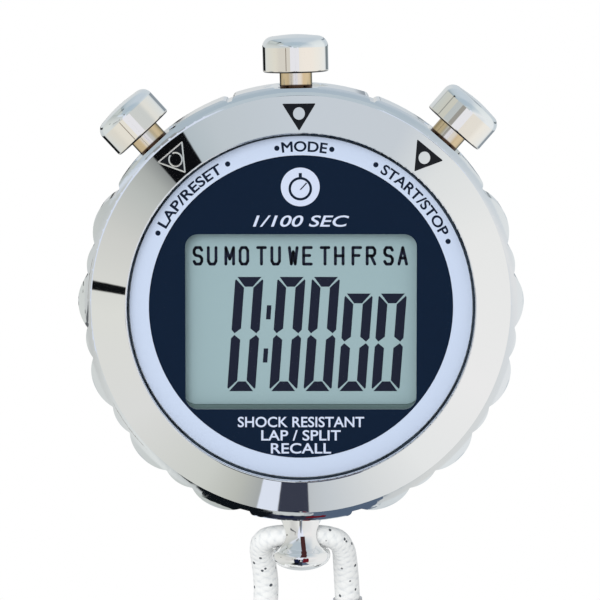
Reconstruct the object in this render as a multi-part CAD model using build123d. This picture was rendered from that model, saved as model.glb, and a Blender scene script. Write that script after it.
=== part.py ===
from build123d import *

import math
import os

# A hand-held digital stopwatch with three push buttons and a neck cord, lying on its back.
# Frame: origin on the case axis in the plane of the back cover, +Z out through the display,
# +Y towards the button at twelve o'clock. All lengths in millimetres, all angles in degrees.
# Clock angles run clockwise from twelve o'clock, seen from the front.

# ---- case body --------------------------------------------------------------------------
CAVITY_R = 24.3          # round chamber that holds the movement
CASE_WALL = 6.05         # chamber to the valleys of the grip
CASE_BOTTOM_Z = 0.4      # the back cover stands this proud of the case body
CASE_TOP_Z = 13.0        # seat of the bezel
SHOULDER_H = 2.6         # rounded shoulder of the grip below the bezel
BACK_CHAMFER_W = 2.8
BACK_CHAMFER_H = 2.4
ENVELOPE_CLEAR = 0.2     # turned envelope outside the lobe tips
LOBE_RISE = 1.15         # tips of the large grip lobes above the valleys
LOBE_HALF_ANGLE = 7.0
SMALL_LOBE_RISE = 0.45
SMALL_LOBE_HALF_ANGLE = 4.0
FIRST_LOBE_ANGLE = 66.5
LOBE_STEP = 22.5
LOBES_PER_SIDE = 5
PAD_RISE = 0.55          # long smooth pads at the buttons and at the cord post
PAD_CORNER_R = 0.9
TOP_PAD_ANGLES = (-38.5, 0.0, 38.5)
TOP_PAD_HALF_ANGLE = 18.8
FOOT_PAD_HALF_ANGLE = 14.0

# ---- bezel, crystal and dial ------------------------------------------------------------
BEZEL_SETBACK = 0.75     # bezel rim inside the valleys of the grip
BEZEL_RIM_H = 0.2
BEZEL_RISE = 4.8         # lip of the bezel above its seat
BEZEL_LIP_R = 0.15       # rounding of the lip and the rim
SPIGOT_W = 3.25          # the spigot that centres the bezel in the case
SPIGOT_DEPTH = 0.6
LEDGE_INSET = 0.2        # ledge inside the chamber wall
LEDGE_W = 0.35           # ledge that carries the crystal
CRYSTAL_RECESS = 0.2
CRYSTAL_T = 1.2
CRYSTAL_GASKET_T = 0.3
DIAL_DEPTH = 0.2         # dial ring below the ledge
DIAL_RING_GAP = 0.03     # dial in the bezel
DIAL_RING_W = 2.7
DIAL_RING_T = 0.25
DIAL_T = 0.8
WINDOW_SIDE = 8.05       # chamber wall to the window at three and nine o'clock
WINDOW_HEAD = 14.05      # chamber wall to the window at twelve o'clock
WINDOW_FOOT = 9.79
WINDOW_CORNER_R = 1.8
MARKER_ANGLES = (-40.3, -0.6, 39.5)
MARKER_W = 4.75          # black triangles engraved below the buttons, seen in plan
MARKER_H = 3.63
MARKER_TOP_GAP = 1.1     # from the bezel rim
MARKER_CORNER_R = 0.1
MARKER_DEPTH = 0.4
MARKER_SUNK = 0.2        # enamel below the polished surface
DOT_D = 1.65
DOT_FROM_TOP = 1.33      # centre of the dot below the triangle's long side

# ---- display module ---------------------------------------------------------------------
FRAME_GAP = 0.3          # module frame in the chamber
LCD_MARGIN_X = 0.7       # display glass beyond the window
LCD_MARGIN_Y = 0.4
LCD_GLASS_T = 0.9
LCD_LEDGE = 2.0          # front glass beyond the rear glass, where the contacts sit
LCD_FIT = 0.15
REFLECTOR_T = 0.2
CUSHION_T = 0.95
CUSHION_SIDE = 0.35      # cushion clear of the window at the sides
CUSHION_HEAD = 0.25
CUSHION_FOOT = -0.55     # it shows at the window's foot
CONTACT_STRIP_W = 1.4
CONTACT_STRIP_L = 28.0
BOARD_T = 1.0
BOARD_INSET = 1.2        # board edge inside the module frame
BOARD_SCREW_EDGE = 2.6   # screws inside the board's edge
BOARD_SCREW_ANGLES = (70.0, 110.0, 250.0, 290.0)
BOARD_SCREW_D = 1.2
BOARD_SCREW_HEAD_D = 2.2
BOARD_SCREW_HEAD_H = 0.7
BOARD_SCREW_L = 2.2      # engagement in the module frame
CHIP_D = 8.4
CHIP_H = 1.3
CHIP_X = 12.5
CHIP_Y = -8.5
OSCILLATOR_D = 2.0
OSCILLATOR_L = 6.0
OSCILLATOR_X = -12.0
OSCILLATOR_Y = -8.0
CHIP_PART_W = 1.6
CHIP_PART_L = 0.9
CHIP_PART_H = 0.6
CHIP_PART_ANGLES = (258.0, 251.0, 159.0, 152.5, 98.5)
CHIP_PART_EDGE = 5.6     # parts inside the board's edge

# ---- battery and buzzer -----------------------------------------------------------------
BATTERY_D = 20.0
BATTERY_T = 3.2
BATTERY_WALL = 5.3       # cell to the chamber wall
BATTERY_RIM_STEP = 1.1   # cap of the cell inside its can
STRAP_T = 0.3
STRAP_W = 6.0
STRAP_GAP = 0.2
BUZZER_D = 15.0
BUZZER_T = 0.25
BUZZER_WALL = 4.3
CERAMIC_D = 10.0
CERAMIC_T = 0.2
BUZZER_SPRING_D = 2.6
BUZZER_WIRE_D = 0.5
BUZZER_SPRING_COILS = 4

# ---- back -------------------------------------------------------------------------------
BACK_T = 1.5
BACK_LEDGE_W = 3.55      # ledge of the case that carries the back cover
BACK_GAP = 0.1
BACK_EDGE_CHAMFER = 0.3
BACK_STEP_R = 21.0       # shallow turned recess on the outside
BACK_STEP_DEPTH = 0.15
SEAL_INSET = 0.3
SEAL_W = 0.5
SEAL_T = 0.6
SEAL_GAP = 0.03
CASE_SCREW_COUNT = 6
CASE_SCREW_D = 1.4
CASE_SCREW_HEAD_D = 2.2
CASE_SCREW_HEAD_H = 0.6
CASE_SCREW_L = 3.5
CASE_SCREW_EDGE = 1.65   # screw circle inside the edge of the cover
CASE_SCREW_SUNK = 0.15
SLOT_W = 0.3
SLOT_DEPTH = 0.25

# ---- buttons ----------------------------------------------------------------------------
BUTTON_NAMES = ("lap_reset", "mode", "start_stop")
BUTTON_ANGLES = (-42.8, -1.3, 41.1)
BUTTON_Z = 9.0
TRAVEL = 1.5
CAP_GAP = 1.8            # cap above the pad of the case, more than the travel
FLAT_D = 9.4             # flat spot face in the pad round each button
FLAT_DEPTH = 0.35
CAP_D = 9.3
CAP_H = 5.3
CAP_OUTER_R = 1.5
CAP_INNER_R = 0.3
CAP_DOME = 0.25
CAP_BORE_D = 3.4
CAP_BORE_DEPTH = 3.2
STEM_D = 4.6
RUNNING_GAP = 0.05
PIN_D = 2.0
SHELF_T = 1.0            # inner wall that the return spring stands on
SPRING_L = 3.1
SPRING_WIRE_D = 0.35
SPRING_COILS = 3.5
RING_GROOVE_OFFSET = 0.7
RING_GROOVE_W = 0.8
RING_WIRE_D = 0.64
CLIP_D = 3.2
CLIP_T = 0.4
CLIP_CLEARANCE = 0.2
CLIP_SLOT_W = 1.2
PIN_REACH = 2.3          # pin tip inside the chamber wall
BORE_CHAMFER = 0.25
CONTACT_W = 3.2
CONTACT_T = 0.25
CONTACT_FOOT = 1.1
CONTACT_H = 3.0
CONTACT_GAP = 0.2        # left at the end of the travel
CONTACT_SLOT_W = 4.4

# ---- cord post --------------------------------------------------------------------------
POST_SEAT_DEPTH = 0.4    # spot face below the pad
POST_SHANK_D = 4.0
POST_SHANK_L = 4.0
POST_THREAD_GAP = 0.05
POST_HEAD_D = 8.4
POST_HEAD_AT = 5.85      # widest place above the seat
POST_L = 8.0
POST_NECK = ((2.95, 0.0), (2.88, 2.6), (3.15, 3.8), (3.77, 4.85))
EYE_AT = 3.0             # eye above the seat
EYE_FLARE = 0.5
EYE_FLARE_L = 0.9

# ---- neck cord --------------------------------------------------------------------------
CORD_D = 3.4
CORD_EYE_GAP = 0.15
CORD_LEFT = (
    (0.0, -33.5, 9.0), (-4.15, -33.5, 9.0), (-5.95, -35.0, 6.9), (-5.35, -38.0, 4.4),
    (-4.9, -42.6, 2.4), (-5.6, -48.6, 1.85), (-9.0, -54.6, 1.9), (-13.1, -59.9, 2.1),
)
CORD_RIGHT = (
    (0.0, -33.5, 9.0), (4.15, -33.5, 9.0), (6.05, -35.1, 7.1), (6.4, -38.2, 4.9),
    (6.7, -43.0, 2.8), (7.0, -49.0, 2.5), (10.3, -55.2, 2.8), (14.4, -60.3, 4.2),
)
COIL_X = 0.75
COIL_Y = -80.0
COIL_MEAN_R = 17.0
COIL_FULL_TURNS = 7
COIL_LEAD_ANGLE = 50.0   # the leads meet the coil this far to each side of its top
COIL_PITCH_GAP = 0.02
COIL_LIFT = 0.4          # the tie passes under the coil
TIE_T = 0.3
TIE_SPAN = 13.0
SLEEVE_L = 4.6
SLEEVE_WALL = 0.4

# ---- worked out from the sizes above ----------------------------------------------------
VALLEY_R = CAVITY_R + CASE_WALL
WINDOW_W = 2 * (CAVITY_R - WINDOW_SIDE)
WINDOW_H = 2 * CAVITY_R - WINDOW_HEAD - WINDOW_FOOT
WINDOW_Y = (WINDOW_FOOT - WINDOW_HEAD) / 2
PAD_R = VALLEY_R + PAD_RISE
LEDGE_R = CAVITY_R - LEDGE_INSET
BEZEL_IN_R = LEDGE_R + LEDGE_W
BEZEL_OUT_R = VALLEY_R - BEZEL_SETBACK
SPIGOT_R = LEDGE_R + SPIGOT_W
RIM_Z = CASE_TOP_Z + BEZEL_RIM_H
LIP_Z = CASE_TOP_Z + BEZEL_RISE
CRYSTAL_TOP_Z = LIP_Z - CRYSTAL_RECESS
LEDGE_Z = CRYSTAL_TOP_Z - CRYSTAL_T - CRYSTAL_GASKET_T
DIAL_RING_Z = LEDGE_Z - DIAL_DEPTH
DIAL_TOP_Z = DIAL_RING_Z - DIAL_RING_T
DIAL_BOTTOM_Z = DIAL_TOP_Z - DIAL_T
DIAL_RING_R = LEDGE_R - DIAL_RING_GAP
FRAME_R = CAVITY_R - FRAME_GAP
LCD_TOP_Z = DIAL_BOTTOM_Z - CUSHION_T
LCD_MID_Z = LCD_TOP_Z - LCD_GLASS_T
LCD_BOTTOM_Z = LCD_MID_Z - LCD_GLASS_T
POCKET_Z = LCD_BOTTOM_Z - REFLECTOR_T
LCD_W = WINDOW_W + 2 * LCD_MARGIN_X
LCD_H = WINDOW_H + 2 * (LCD_MARGIN_Y + LCD_LEDGE)
CONTACT_STRIP_OFFSET = LCD_H / 2 - LCD_LEDGE / 2
BOARD_TOP_Z = BUTTON_Z - CLIP_D / 2 - CLIP_CLEARANCE
BOARD_BOTTOM_Z = BOARD_TOP_Z - BOARD_T
BOARD_R = FRAME_R - BOARD_INSET
BOARD_SCREW_R = BOARD_R - BOARD_SCREW_EDGE
BATTERY_Y = CAVITY_R - BATTERY_WALL - BATTERY_D / 2
BUZZER_Y = BUZZER_D / 2 + BUZZER_WALL - CAVITY_R
BATTERY_TOP_Z = BOARD_BOTTOM_Z - STRAP_T
BATTERY_BOTTOM_Z = BATTERY_TOP_Z - BATTERY_T
COVER_R = CAVITY_R + BACK_LEDGE_W - BACK_GAP
CASE_SCREW_CIRCLE_R = COVER_R - CASE_SCREW_EDGE
SEAL_IN_R = CAVITY_R + SEAL_INSET
BORE_R = STEM_D / 2 + RUNNING_GAP
SHELF_R = CAVITY_R + SHELF_T
SHOULDER_R = SHELF_R + SPRING_L
CAP_R = PAD_R + CAP_GAP
CLIP_OUT_R = CAVITY_R - 0.1
PIN_END_R = CAVITY_R - PIN_REACH
CONTACT_R = PIN_END_R - TRAVEL - CONTACT_GAP
POST_SEAT_R = PAD_R - POST_SEAT_DEPTH
EYE_R = CORD_D / 2 + CORD_EYE_GAP
COIL_PITCH = CORD_D + COIL_PITCH_GAP
COIL_TURNS = COIL_FULL_TURNS + (360 - 2 * COIL_LEAD_ANGLE) / 360
COIL_HALF_BAND = COIL_TURNS / 2 * COIL_PITCH / 2
COIL_Z = COIL_LIFT + CORD_D / 2
EPS = 0.01


# ---- small helpers ----------------------------------------------------------------------
def disc(radius, bottom, top, x=0.0, y=0.0):
    """A round plate between two heights."""
    return Pos(x, y, (bottom + top) / 2) * Cylinder(radius, top - bottom)


def ring(outer, inner, bottom, top):
    """A round plate with a round hole."""
    return disc(outer, bottom, top) - disc(inner, bottom - 1, top + 1)


def plate(width, height, corner, bottom, top, y=0.0):
    """A rectangular plate with rounded corners, centred on x = 0."""
    outline = RectangleRounded(width, height, corner) if corner else Rectangle(width, height)
    return Pos(0, y, bottom) * extrude(outline, top - bottom)


def at_clock(shape, angle):
    """Turns a shape made at twelve o'clock to a clock angle."""
    return Rot(0, 0, -angle) * shape


def turned_upright(points):
    """A solid turned about Z from (radius, height) points."""
    return revolve(Plane.XZ * Polygon(*points, align=None), Axis.Z)


def turned_button(profile):
    """A solid turned about the button axis from an (offset, radial place) face."""
    return Pos(0, 0, BUTTON_Z) * revolve(profile, Axis.Y)


def rod(diameter, inner, outer):
    """A cylinder on the button axis at twelve o'clock, between two radial places."""
    body = Rot(-90, 0, 0) * Cylinder(diameter / 2, outer - inner)
    return Pos(0, (inner + outer) / 2, BUTTON_Z) * body


def coil_spring(diameter, wire, length, coils):
    """A helical spring along Z from z = 0, wire included in its length."""
    rise = length - wire
    path = Helix(pitch=rise / coils, height=rise, radius=(diameter - wire) / 2)
    section = (path ^ 0) * Circle(wire / 2)
    return Pos(0, 0, wire / 2) * sweep(section, path=path, is_frenet=True)


# ---- case and bezel ---------------------------------------------------------------------
def lobe(rise, half_angle, angle):
    """A convex grip lobe, an arc that leaves the valley circle at half_angle to each side."""
    half_chord = VALLEY_R * math.sin(math.radians(half_angle))
    height = VALLEY_R + rise - VALLEY_R * math.cos(math.radians(half_angle))
    radius = (half_chord ** 2 + height ** 2) / (2 * height)
    return Rot(0, 0, -angle) * Pos(0, VALLEY_R + rise - radius) * Circle(radius)


def pad(half_angle, angle):
    """A pad of the grip, concentric with the case and rounded at both ends."""
    reach = 2 * PAD_R
    side = reach * math.tan(math.radians(half_angle))
    wedge = Polygon((0, 0), (side, reach), (-side, reach), align=None)
    sector = Circle(PAD_R) & wedge
    corners = sector.vertices().sort_by(Axis.Y)[1:]
    return Rot(0, 0, -angle) * fillet(corners, PAD_CORNER_R)


def grip_outline():
    """Plan of the case: valley circle, lobes at the sides and pads at top and foot."""
    outline = Circle(VALLEY_R)
    for angle in TOP_PAD_ANGLES:
        outline += pad(TOP_PAD_HALF_ANGLE, angle)
    outline += pad(FOOT_PAD_HALF_ANGLE, 180)
    for side in (-1, 1):
        for index in range(LOBES_PER_SIDE):
            angle = side * (FIRST_LOBE_ANGLE + index * LOBE_STEP)
            outline += lobe(LOBE_RISE, LOBE_HALF_ANGLE, angle)
            if index:
                between = angle - side * LOBE_STEP / 2
                outline += lobe(SMALL_LOBE_RISE, SMALL_LOBE_HALF_ANGLE, between)
    return outline


def case_envelope():
    """Turned envelope of the case: rounded shoulder on top, chamfer at the back."""
    outer = VALLEY_R + LOBE_RISE + ENVELOPE_CLEAR
    shoulder_z = CASE_TOP_Z - SHOULDER_H
    chamfer_top = (outer, CASE_BOTTOM_Z + BACK_CHAMFER_H)
    outline = [
        Polyline((0, CASE_TOP_Z), (0, CASE_BOTTOM_Z), (outer - BACK_CHAMFER_W, CASE_BOTTOM_Z),
                 chamfer_top, (outer, shoulder_z)),
        EllipticalCenterArc((BEZEL_OUT_R, shoulder_z), outer - BEZEL_OUT_R, SHOULDER_H,
                            start_angle=0, arc_size=90),
        Line((BEZEL_OUT_R, CASE_TOP_Z), (0, CASE_TOP_Z)),
    ]
    return revolve(Plane.XZ * make_face(outline), Axis.Z)


def button_bore():
    """Stepped bore of one button at twelve o'clock, its chamfered mouth and its flat."""
    flat = PAD_R - FLAT_DEPTH
    mouth = Polygon(
        (0, flat - BORE_CHAMFER), (BORE_R, flat - BORE_CHAMFER),
        (BORE_R + BORE_CHAMFER, flat), (FLAT_D / 2, flat), (FLAT_D / 2, PAD_R + 1),
        (0, PAD_R + 1), align=None)
    bore = rod(2 * BORE_R, SHELF_R, PAD_R + 1)
    pin_hole = rod(PIN_D + 2 * RUNNING_GAP, CAVITY_R - 1, SHELF_R + EPS)
    return bore + pin_hole + turned_button(mouth)


def post_bore():
    """Spot face and threaded hole of the cord post at six o'clock."""
    seat = rod(2 * POST_NECK[0][0] + 2 * POST_THREAD_GAP, POST_SEAT_R, PAD_R + 3)
    hole = rod(POST_SHANK_D + 2 * POST_THREAD_GAP, POST_SEAT_R - POST_SHANK_L - 0.2, PAD_R)
    return at_clock(seat + hole, 180)


def case_screw_spots():
    """Clock angles of the screws that hold the back cover."""
    return [360 / CASE_SCREW_COUNT * (index + 0.5) for index in range(CASE_SCREW_COUNT)]


def mid_case():
    """Case body: scalloped grip, chamber, seats for bezel and cover, bores and threads."""
    height = CASE_TOP_Z - CASE_BOTTOM_Z
    blank = Pos(0, 0, CASE_BOTTOM_Z) * extrude(grip_outline(), height)
    body = blank & case_envelope()
    body -= disc(CAVITY_R, CASE_BOTTOM_Z - 1, CASE_TOP_Z + 1)
    body -= disc(SPIGOT_R + 0.02, CASE_TOP_Z - SPIGOT_DEPTH - 0.02, CASE_TOP_Z + 1)
    body -= disc(COVER_R + BACK_GAP, CASE_BOTTOM_Z - 1, BACK_T)
    body -= ring(SEAL_IN_R + SEAL_W + SEAL_GAP, SEAL_IN_R - SEAL_GAP, BACK_T - 0.5,
                 BACK_T + SEAL_T + SEAL_GAP)
    for angle in case_screw_spots():
        hole = disc(CASE_SCREW_D / 2 + 0.02, 0, BACK_T + CASE_SCREW_L, y=CASE_SCREW_CIRCLE_R)
        body -= at_clock(hole, angle)
    for angle in BUTTON_ANGLES:
        body -= at_clock(button_bore(), angle)
    return body - post_bore()


def marker_plan():
    """Plan of one engraved triangle at twelve o'clock, its point towards the dial."""
    top = BEZEL_OUT_R - MARKER_TOP_GAP
    corners = ((-MARKER_W / 2, top), (0, top - MARKER_H), (MARKER_W / 2, top))
    triangle = Polygon(*corners, align=None)
    triangle = fillet(triangle.vertices(), MARKER_CORNER_R)
    return triangle - Pos(0, top - DOT_FROM_TOP) * Circle(DOT_D / 2)


def bezel_shell(drop_top, drop_bottom):
    """A turned shell that follows the bezel's cone between two drops below it."""
    slope = (LIP_Z - RIM_Z) / (BEZEL_OUT_R - BEZEL_IN_R)
    inner = BEZEL_IN_R - 0.5
    outer = BEZEL_OUT_R + 0.5
    high = LIP_Z + 0.5 * slope
    low = RIM_Z - 0.5 * slope
    return turned_upright((
        (inner, high - drop_top), (outer, low - drop_top),
        (outer, low - drop_bottom), (inner, high - drop_bottom),
    ))


def marker_prisms():
    """The three triangles as upright prisms through the bezel."""
    prism = Pos(0, 0, CASE_TOP_Z) * extrude(marker_plan(), BEZEL_RISE + 1)
    return [at_clock(prism, angle) for angle in MARKER_ANGLES]


def front_bezel():
    """Conical bezel with a ledge for the crystal and a spigot that centres it."""
    foot = CASE_TOP_Z - SPIGOT_DEPTH
    profile = Polygon(
        (BEZEL_IN_R, LIP_Z), (BEZEL_OUT_R, RIM_Z), (BEZEL_OUT_R, CASE_TOP_Z),
        (SPIGOT_R, CASE_TOP_Z), (SPIGOT_R, foot), (LEDGE_R, foot),
        (LEDGE_R, LEDGE_Z), (BEZEL_IN_R, LEDGE_Z), align=None)
    lip = profile.vertices().sort_by(Axis.Y)[-1]
    profile = fillet(lip, BEZEL_LIP_R)
    rim = [v for v in profile.vertices() if v.X > BEZEL_OUT_R - EPS and v.Y > RIM_Z - EPS]
    profile = fillet(rim, BEZEL_RIM_H / 2)
    bezel = revolve(Plane.XZ * profile, Axis.Z)
    for prism in marker_prisms():
        bezel -= prism & bezel_shell(-1, MARKER_DEPTH)
    return bezel


def bezel_markers():
    """Black enamel in the three engraved triangles."""
    shell = bezel_shell(MARKER_SUNK, MARKER_DEPTH)
    return [prism & shell for prism in marker_prisms()]


def crystal():
    """Flat crystal with a small chamfer at its upper edge."""
    glass = disc(BEZEL_IN_R - 0.03, LEDGE_Z + CRYSTAL_GASKET_T, CRYSTAL_TOP_Z)
    return chamfer(glass.edges().group_by(Axis.Z)[-1], 0.12)


def crystal_gasket():
    """Black rubber ring between crystal and ledge."""
    return ring(BEZEL_IN_R - 0.02, LEDGE_R, LEDGE_Z, LEDGE_Z + CRYSTAL_GASKET_T)


def dial_ring():
    """Pale ring that frames the dial."""
    return ring(DIAL_RING_R, DIAL_RING_R - DIAL_RING_W, DIAL_TOP_Z, DIAL_RING_Z)


def dial_plate():
    """Dark dial with the display window."""
    window = plate(WINDOW_W, WINDOW_H, WINDOW_CORNER_R, DIAL_BOTTOM_Z - 1, DIAL_TOP_Z + 1, WINDOW_Y)
    return disc(DIAL_RING_R, DIAL_BOTTOM_Z, DIAL_TOP_Z) - window


# ---- display module ---------------------------------------------------------------------
def lcd_sheet(height, bottom, top, gap=0.0):
    """A sheet of the display, its corners cut where the round frame needs them cut."""
    sheet = plate(LCD_W + 2 * gap, height + 2 * gap, 0, bottom, top, WINDOW_Y)
    return sheet & disc(FRAME_R - 0.4 + gap, bottom - 1, top + 1)


def lcd_front_glass():
    """Front glass of the display."""
    return lcd_sheet(LCD_H, LCD_MID_Z, LCD_TOP_Z)


def lcd_rear_glass():
    """Rear glass of the display, shorter where the contacts sit."""
    return lcd_sheet(LCD_H - 2 * LCD_LEDGE, LCD_BOTTOM_Z, LCD_MID_Z)


def lcd_reflector():
    """Reflector foil behind the rear glass."""
    return lcd_sheet(LCD_H - 2 * LCD_LEDGE, POCKET_Z, LCD_BOTTOM_Z)


def lcd_cushion():
    """Soft frame between the display glass and the dial."""
    width = WINDOW_W + 2 * CUSHION_SIDE
    height = WINDOW_H + CUSHION_HEAD + CUSHION_FOOT
    hole = plate(width, height, WINDOW_CORNER_R, LCD_TOP_Z - 1, DIAL_BOTTOM_Z + 1,
                 WINDOW_Y + (CUSHION_HEAD - CUSHION_FOOT) / 2)
    return lcd_sheet(LCD_H, LCD_TOP_Z, DIAL_BOTTOM_Z) - hole


def contact_strips(gap=0.0):
    """Rubber strips that connect the glass to the board."""
    strips = []
    for side in (-1, 1):
        y = WINDOW_Y + side * CONTACT_STRIP_OFFSET
        strips.append(plate(CONTACT_STRIP_L + 2 * gap, CONTACT_STRIP_W + 2 * gap, 0,
                            BOARD_TOP_Z - gap, LCD_MID_Z + gap, y))
    return strips


def button_slot():
    """Radial slot of the module frame for a pin, its clip and its contact."""
    inner = CONTACT_R - CONTACT_FOOT - CONTACT_T - 0.3
    top = BUTTON_Z + CLIP_D / 2 + CLIP_CLEARANCE
    length = CAVITY_R + 1 - inner
    box = Box(CONTACT_SLOT_W, length, top - BOARD_TOP_Z + 1)
    return Pos(0, inner + length / 2, (top + BOARD_TOP_Z - 1) / 2) * box


def module_frame():
    """Plastic frame that carries display and board in the case."""
    frame = disc(FRAME_R, BOARD_TOP_Z, DIAL_BOTTOM_Z)
    frame -= lcd_sheet(LCD_H, POCKET_Z, DIAL_BOTTOM_Z + 1, LCD_FIT)
    for strip in contact_strips(LCD_FIT / 2):
        frame -= strip
    for angle in BUTTON_ANGLES:
        frame -= at_clock(button_slot(), angle)
    for angle in BOARD_SCREW_ANGLES:
        hole = disc(BOARD_SCREW_D / 2, BOARD_TOP_Z - 1, BOARD_TOP_Z + BOARD_SCREW_L,
                    y=BOARD_SCREW_R)
        frame -= at_clock(hole, angle)
    return frame


def circuit_board():
    """Round circuit board behind the frame."""
    board = disc(BOARD_R, BOARD_BOTTOM_Z, BOARD_TOP_Z)
    for angle in BOARD_SCREW_ANGLES:
        hole = disc(BOARD_SCREW_D / 2 + 0.1, BOARD_BOTTOM_Z - 1, BOARD_TOP_Z + 1,
                    y=BOARD_SCREW_R)
        board -= at_clock(hole, angle)
    return board


def board_screws():
    """Self-tapping screws that hold the board to the frame."""
    screws = []
    for angle in BOARD_SCREW_ANGLES:
        shank = disc(BOARD_SCREW_D / 2, BOARD_BOTTOM_Z, BOARD_TOP_Z + BOARD_SCREW_L,
                     y=BOARD_SCREW_R)
        head = disc(BOARD_SCREW_HEAD_D / 2, BOARD_BOTTOM_Z - BOARD_SCREW_HEAD_H, BOARD_BOTTOM_Z,
                    y=BOARD_SCREW_R)
        slot = Pos(0, BOARD_SCREW_R, BOARD_BOTTOM_Z - BOARD_SCREW_HEAD_H) * Box(
            BOARD_SCREW_HEAD_D * 2, SLOT_W, 2 * SLOT_DEPTH)
        screws.append(at_clock(shank + head - slot, angle))
    return screws


def timing_chip():
    """Drop of resin over the timing chip, on the back of the board."""
    rim = BOARD_BOTTOM_Z - CHIP_H / 4
    skirt = disc(CHIP_D / 2, rim, BOARD_BOTTOM_Z)
    dome_h = CHIP_H * 3 / 4
    dome_r = ((CHIP_D / 2) ** 2 + dome_h ** 2) / (2 * dome_h)
    dome = Pos(0, 0, rim - dome_h + dome_r) * Sphere(dome_r) & disc(CHIP_D / 2, rim - dome_h, rim)
    return Pos(CHIP_X, CHIP_Y, 0) * (skirt + dome)


def oscillator():
    """Quartz oscillator in its metal can, lying on the back of the board."""
    can = Rot(0, 90, 0) * Cylinder(OSCILLATOR_D / 2, OSCILLATOR_L)
    return Pos(OSCILLATOR_X, OSCILLATOR_Y, BOARD_BOTTOM_Z - OSCILLATOR_D / 2) * can


def board_parts():
    """Small resistors and capacitors on the back of the board."""
    body = Box(CHIP_PART_W, CHIP_PART_L, CHIP_PART_H)
    z = BOARD_BOTTOM_Z - CHIP_PART_H / 2
    return [at_clock(Pos(0, BOARD_R - CHIP_PART_EDGE, z) * body, a) for a in CHIP_PART_ANGLES]


def switch_contacts():
    """Bent contact blades that the button pins close, on the front of the board."""
    blades = []
    for angle in BUTTON_ANGLES:
        blade = Pos(0, CONTACT_R - CONTACT_T / 2, BOARD_TOP_Z + CONTACT_H / 2) * Box(
            CONTACT_W, CONTACT_T, CONTACT_H)
        foot = Pos(0, CONTACT_R - CONTACT_T - CONTACT_FOOT / 2, BOARD_TOP_Z + CONTACT_T / 2) * Box(
            CONTACT_W, CONTACT_FOOT, CONTACT_T)
        blades.append(at_clock(blade + foot, angle))
    return blades


# ---- battery and buzzer -----------------------------------------------------------------
def battery():
    """Coin cell with its stepped cap towards the board."""
    step = BATTERY_T / 6
    can = disc(BATTERY_D / 2, BATTERY_BOTTOM_Z, BATTERY_TOP_Z - step, y=BATTERY_Y)
    cap = disc(BATTERY_D / 2 - BATTERY_RIM_STEP, BATTERY_TOP_Z - step, BATTERY_TOP_Z, y=BATTERY_Y)
    return can + cap


def battery_contact():
    """Contact plate between the cell's cap and the board."""
    return disc(BATTERY_D / 4, BATTERY_TOP_Z, BOARD_BOTTOM_Z, y=BATTERY_Y)


def battery_strap():
    """Steel strap over the cell, its two legs soldered to the board."""
    outer_w = BATTERY_D + 2 * STRAP_GAP + 2 * STRAP_T
    bottom = BATTERY_BOTTOM_Z - STRAP_T
    block = Pos(0, BATTERY_Y, (bottom + BOARD_BOTTOM_Z) / 2) * Box(
        outer_w, STRAP_W, BOARD_BOTTOM_Z - bottom)
    space = Pos(0, BATTERY_Y, BATTERY_BOTTOM_Z + BATTERY_T) * Box(
        outer_w - 2 * STRAP_T, 2 * STRAP_W, 2 * BATTERY_T)
    return block - space


def buzzer_plate():
    """Brass plate of the buzzer, glued into the back cover."""
    return disc(BUZZER_D / 2, BACK_T, BACK_T + BUZZER_T, y=BUZZER_Y)


def buzzer_ceramic():
    """Ceramic disc of the buzzer."""
    bottom = BACK_T + BUZZER_T
    return disc(CERAMIC_D / 2, bottom, bottom + CERAMIC_T, y=BUZZER_Y)


def buzzer_springs():
    """Two contact springs from the board to the buzzer."""
    plate_z = BACK_T + BUZZER_T
    edge_x = (CERAMIC_D + BUZZER_D) / 4
    springs = []
    for x, bottom in ((0.0, plate_z + CERAMIC_T), (edge_x, plate_z)):
        spring = coil_spring(BUZZER_SPRING_D, BUZZER_WIRE_D, BOARD_BOTTOM_Z - bottom - 2 * EPS,
                             BUZZER_SPRING_COILS)
        springs.append(Pos(x, BUZZER_Y, bottom + EPS) * spring)
    return springs


# ---- back -------------------------------------------------------------------------------
def back_cover():
    """Back cover with countersunk holes and a shallow turned recess."""
    cover = disc(COVER_R, 0, BACK_T)
    cover = chamfer(cover.edges().group_by(Axis.Z)[0], BACK_EDGE_CHAMFER)
    cover -= disc(BACK_STEP_R, -1, BACK_STEP_DEPTH)
    for angle in case_screw_spots():
        cover -= at_clock(Pos(0, CASE_SCREW_CIRCLE_R) * screw_body(0.05, 1, 1), angle)
    return cover


def screw_body(gap, below, length):
    """Countersunk screw on Z, head down at CASE_SCREW_SUNK, or the space for one."""
    head_z = CASE_SCREW_SUNK + CASE_SCREW_HEAD_H
    shank_r = CASE_SCREW_D / 2 + gap
    head_r = CASE_SCREW_HEAD_D / 2 + gap
    return turned_upright((
        (0, CASE_SCREW_SUNK - below), (head_r, CASE_SCREW_SUNK - below), (head_r, CASE_SCREW_SUNK),
        (shank_r, head_z), (shank_r, BACK_T + length), (0, BACK_T + length),
    ))


def case_screws():
    """Countersunk screws that hold the back cover."""
    shank = CASE_SCREW_L - 0.3
    screw = turned_upright((
        (0, CASE_SCREW_SUNK), (CASE_SCREW_HEAD_D / 2, CASE_SCREW_SUNK),
        (CASE_SCREW_D / 2, CASE_SCREW_SUNK + CASE_SCREW_HEAD_H),
        (CASE_SCREW_D / 2, BACK_T + shank), (0, BACK_T + shank),
    ))
    slot = Pos(0, 0, CASE_SCREW_SUNK) * Box(CASE_SCREW_HEAD_D * 2, SLOT_W, 2 * SLOT_DEPTH)
    cross = Rot(0, 0, 90) * slot
    screw = Pos(0, CASE_SCREW_CIRCLE_R, 0) * (screw - slot - cross)
    return [at_clock(screw, angle) for angle in case_screw_spots()]


def back_gasket():
    """Rubber seal between back cover and case."""
    return ring(SEAL_IN_R + SEAL_W, SEAL_IN_R, BACK_T, BACK_T + SEAL_T)


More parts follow.
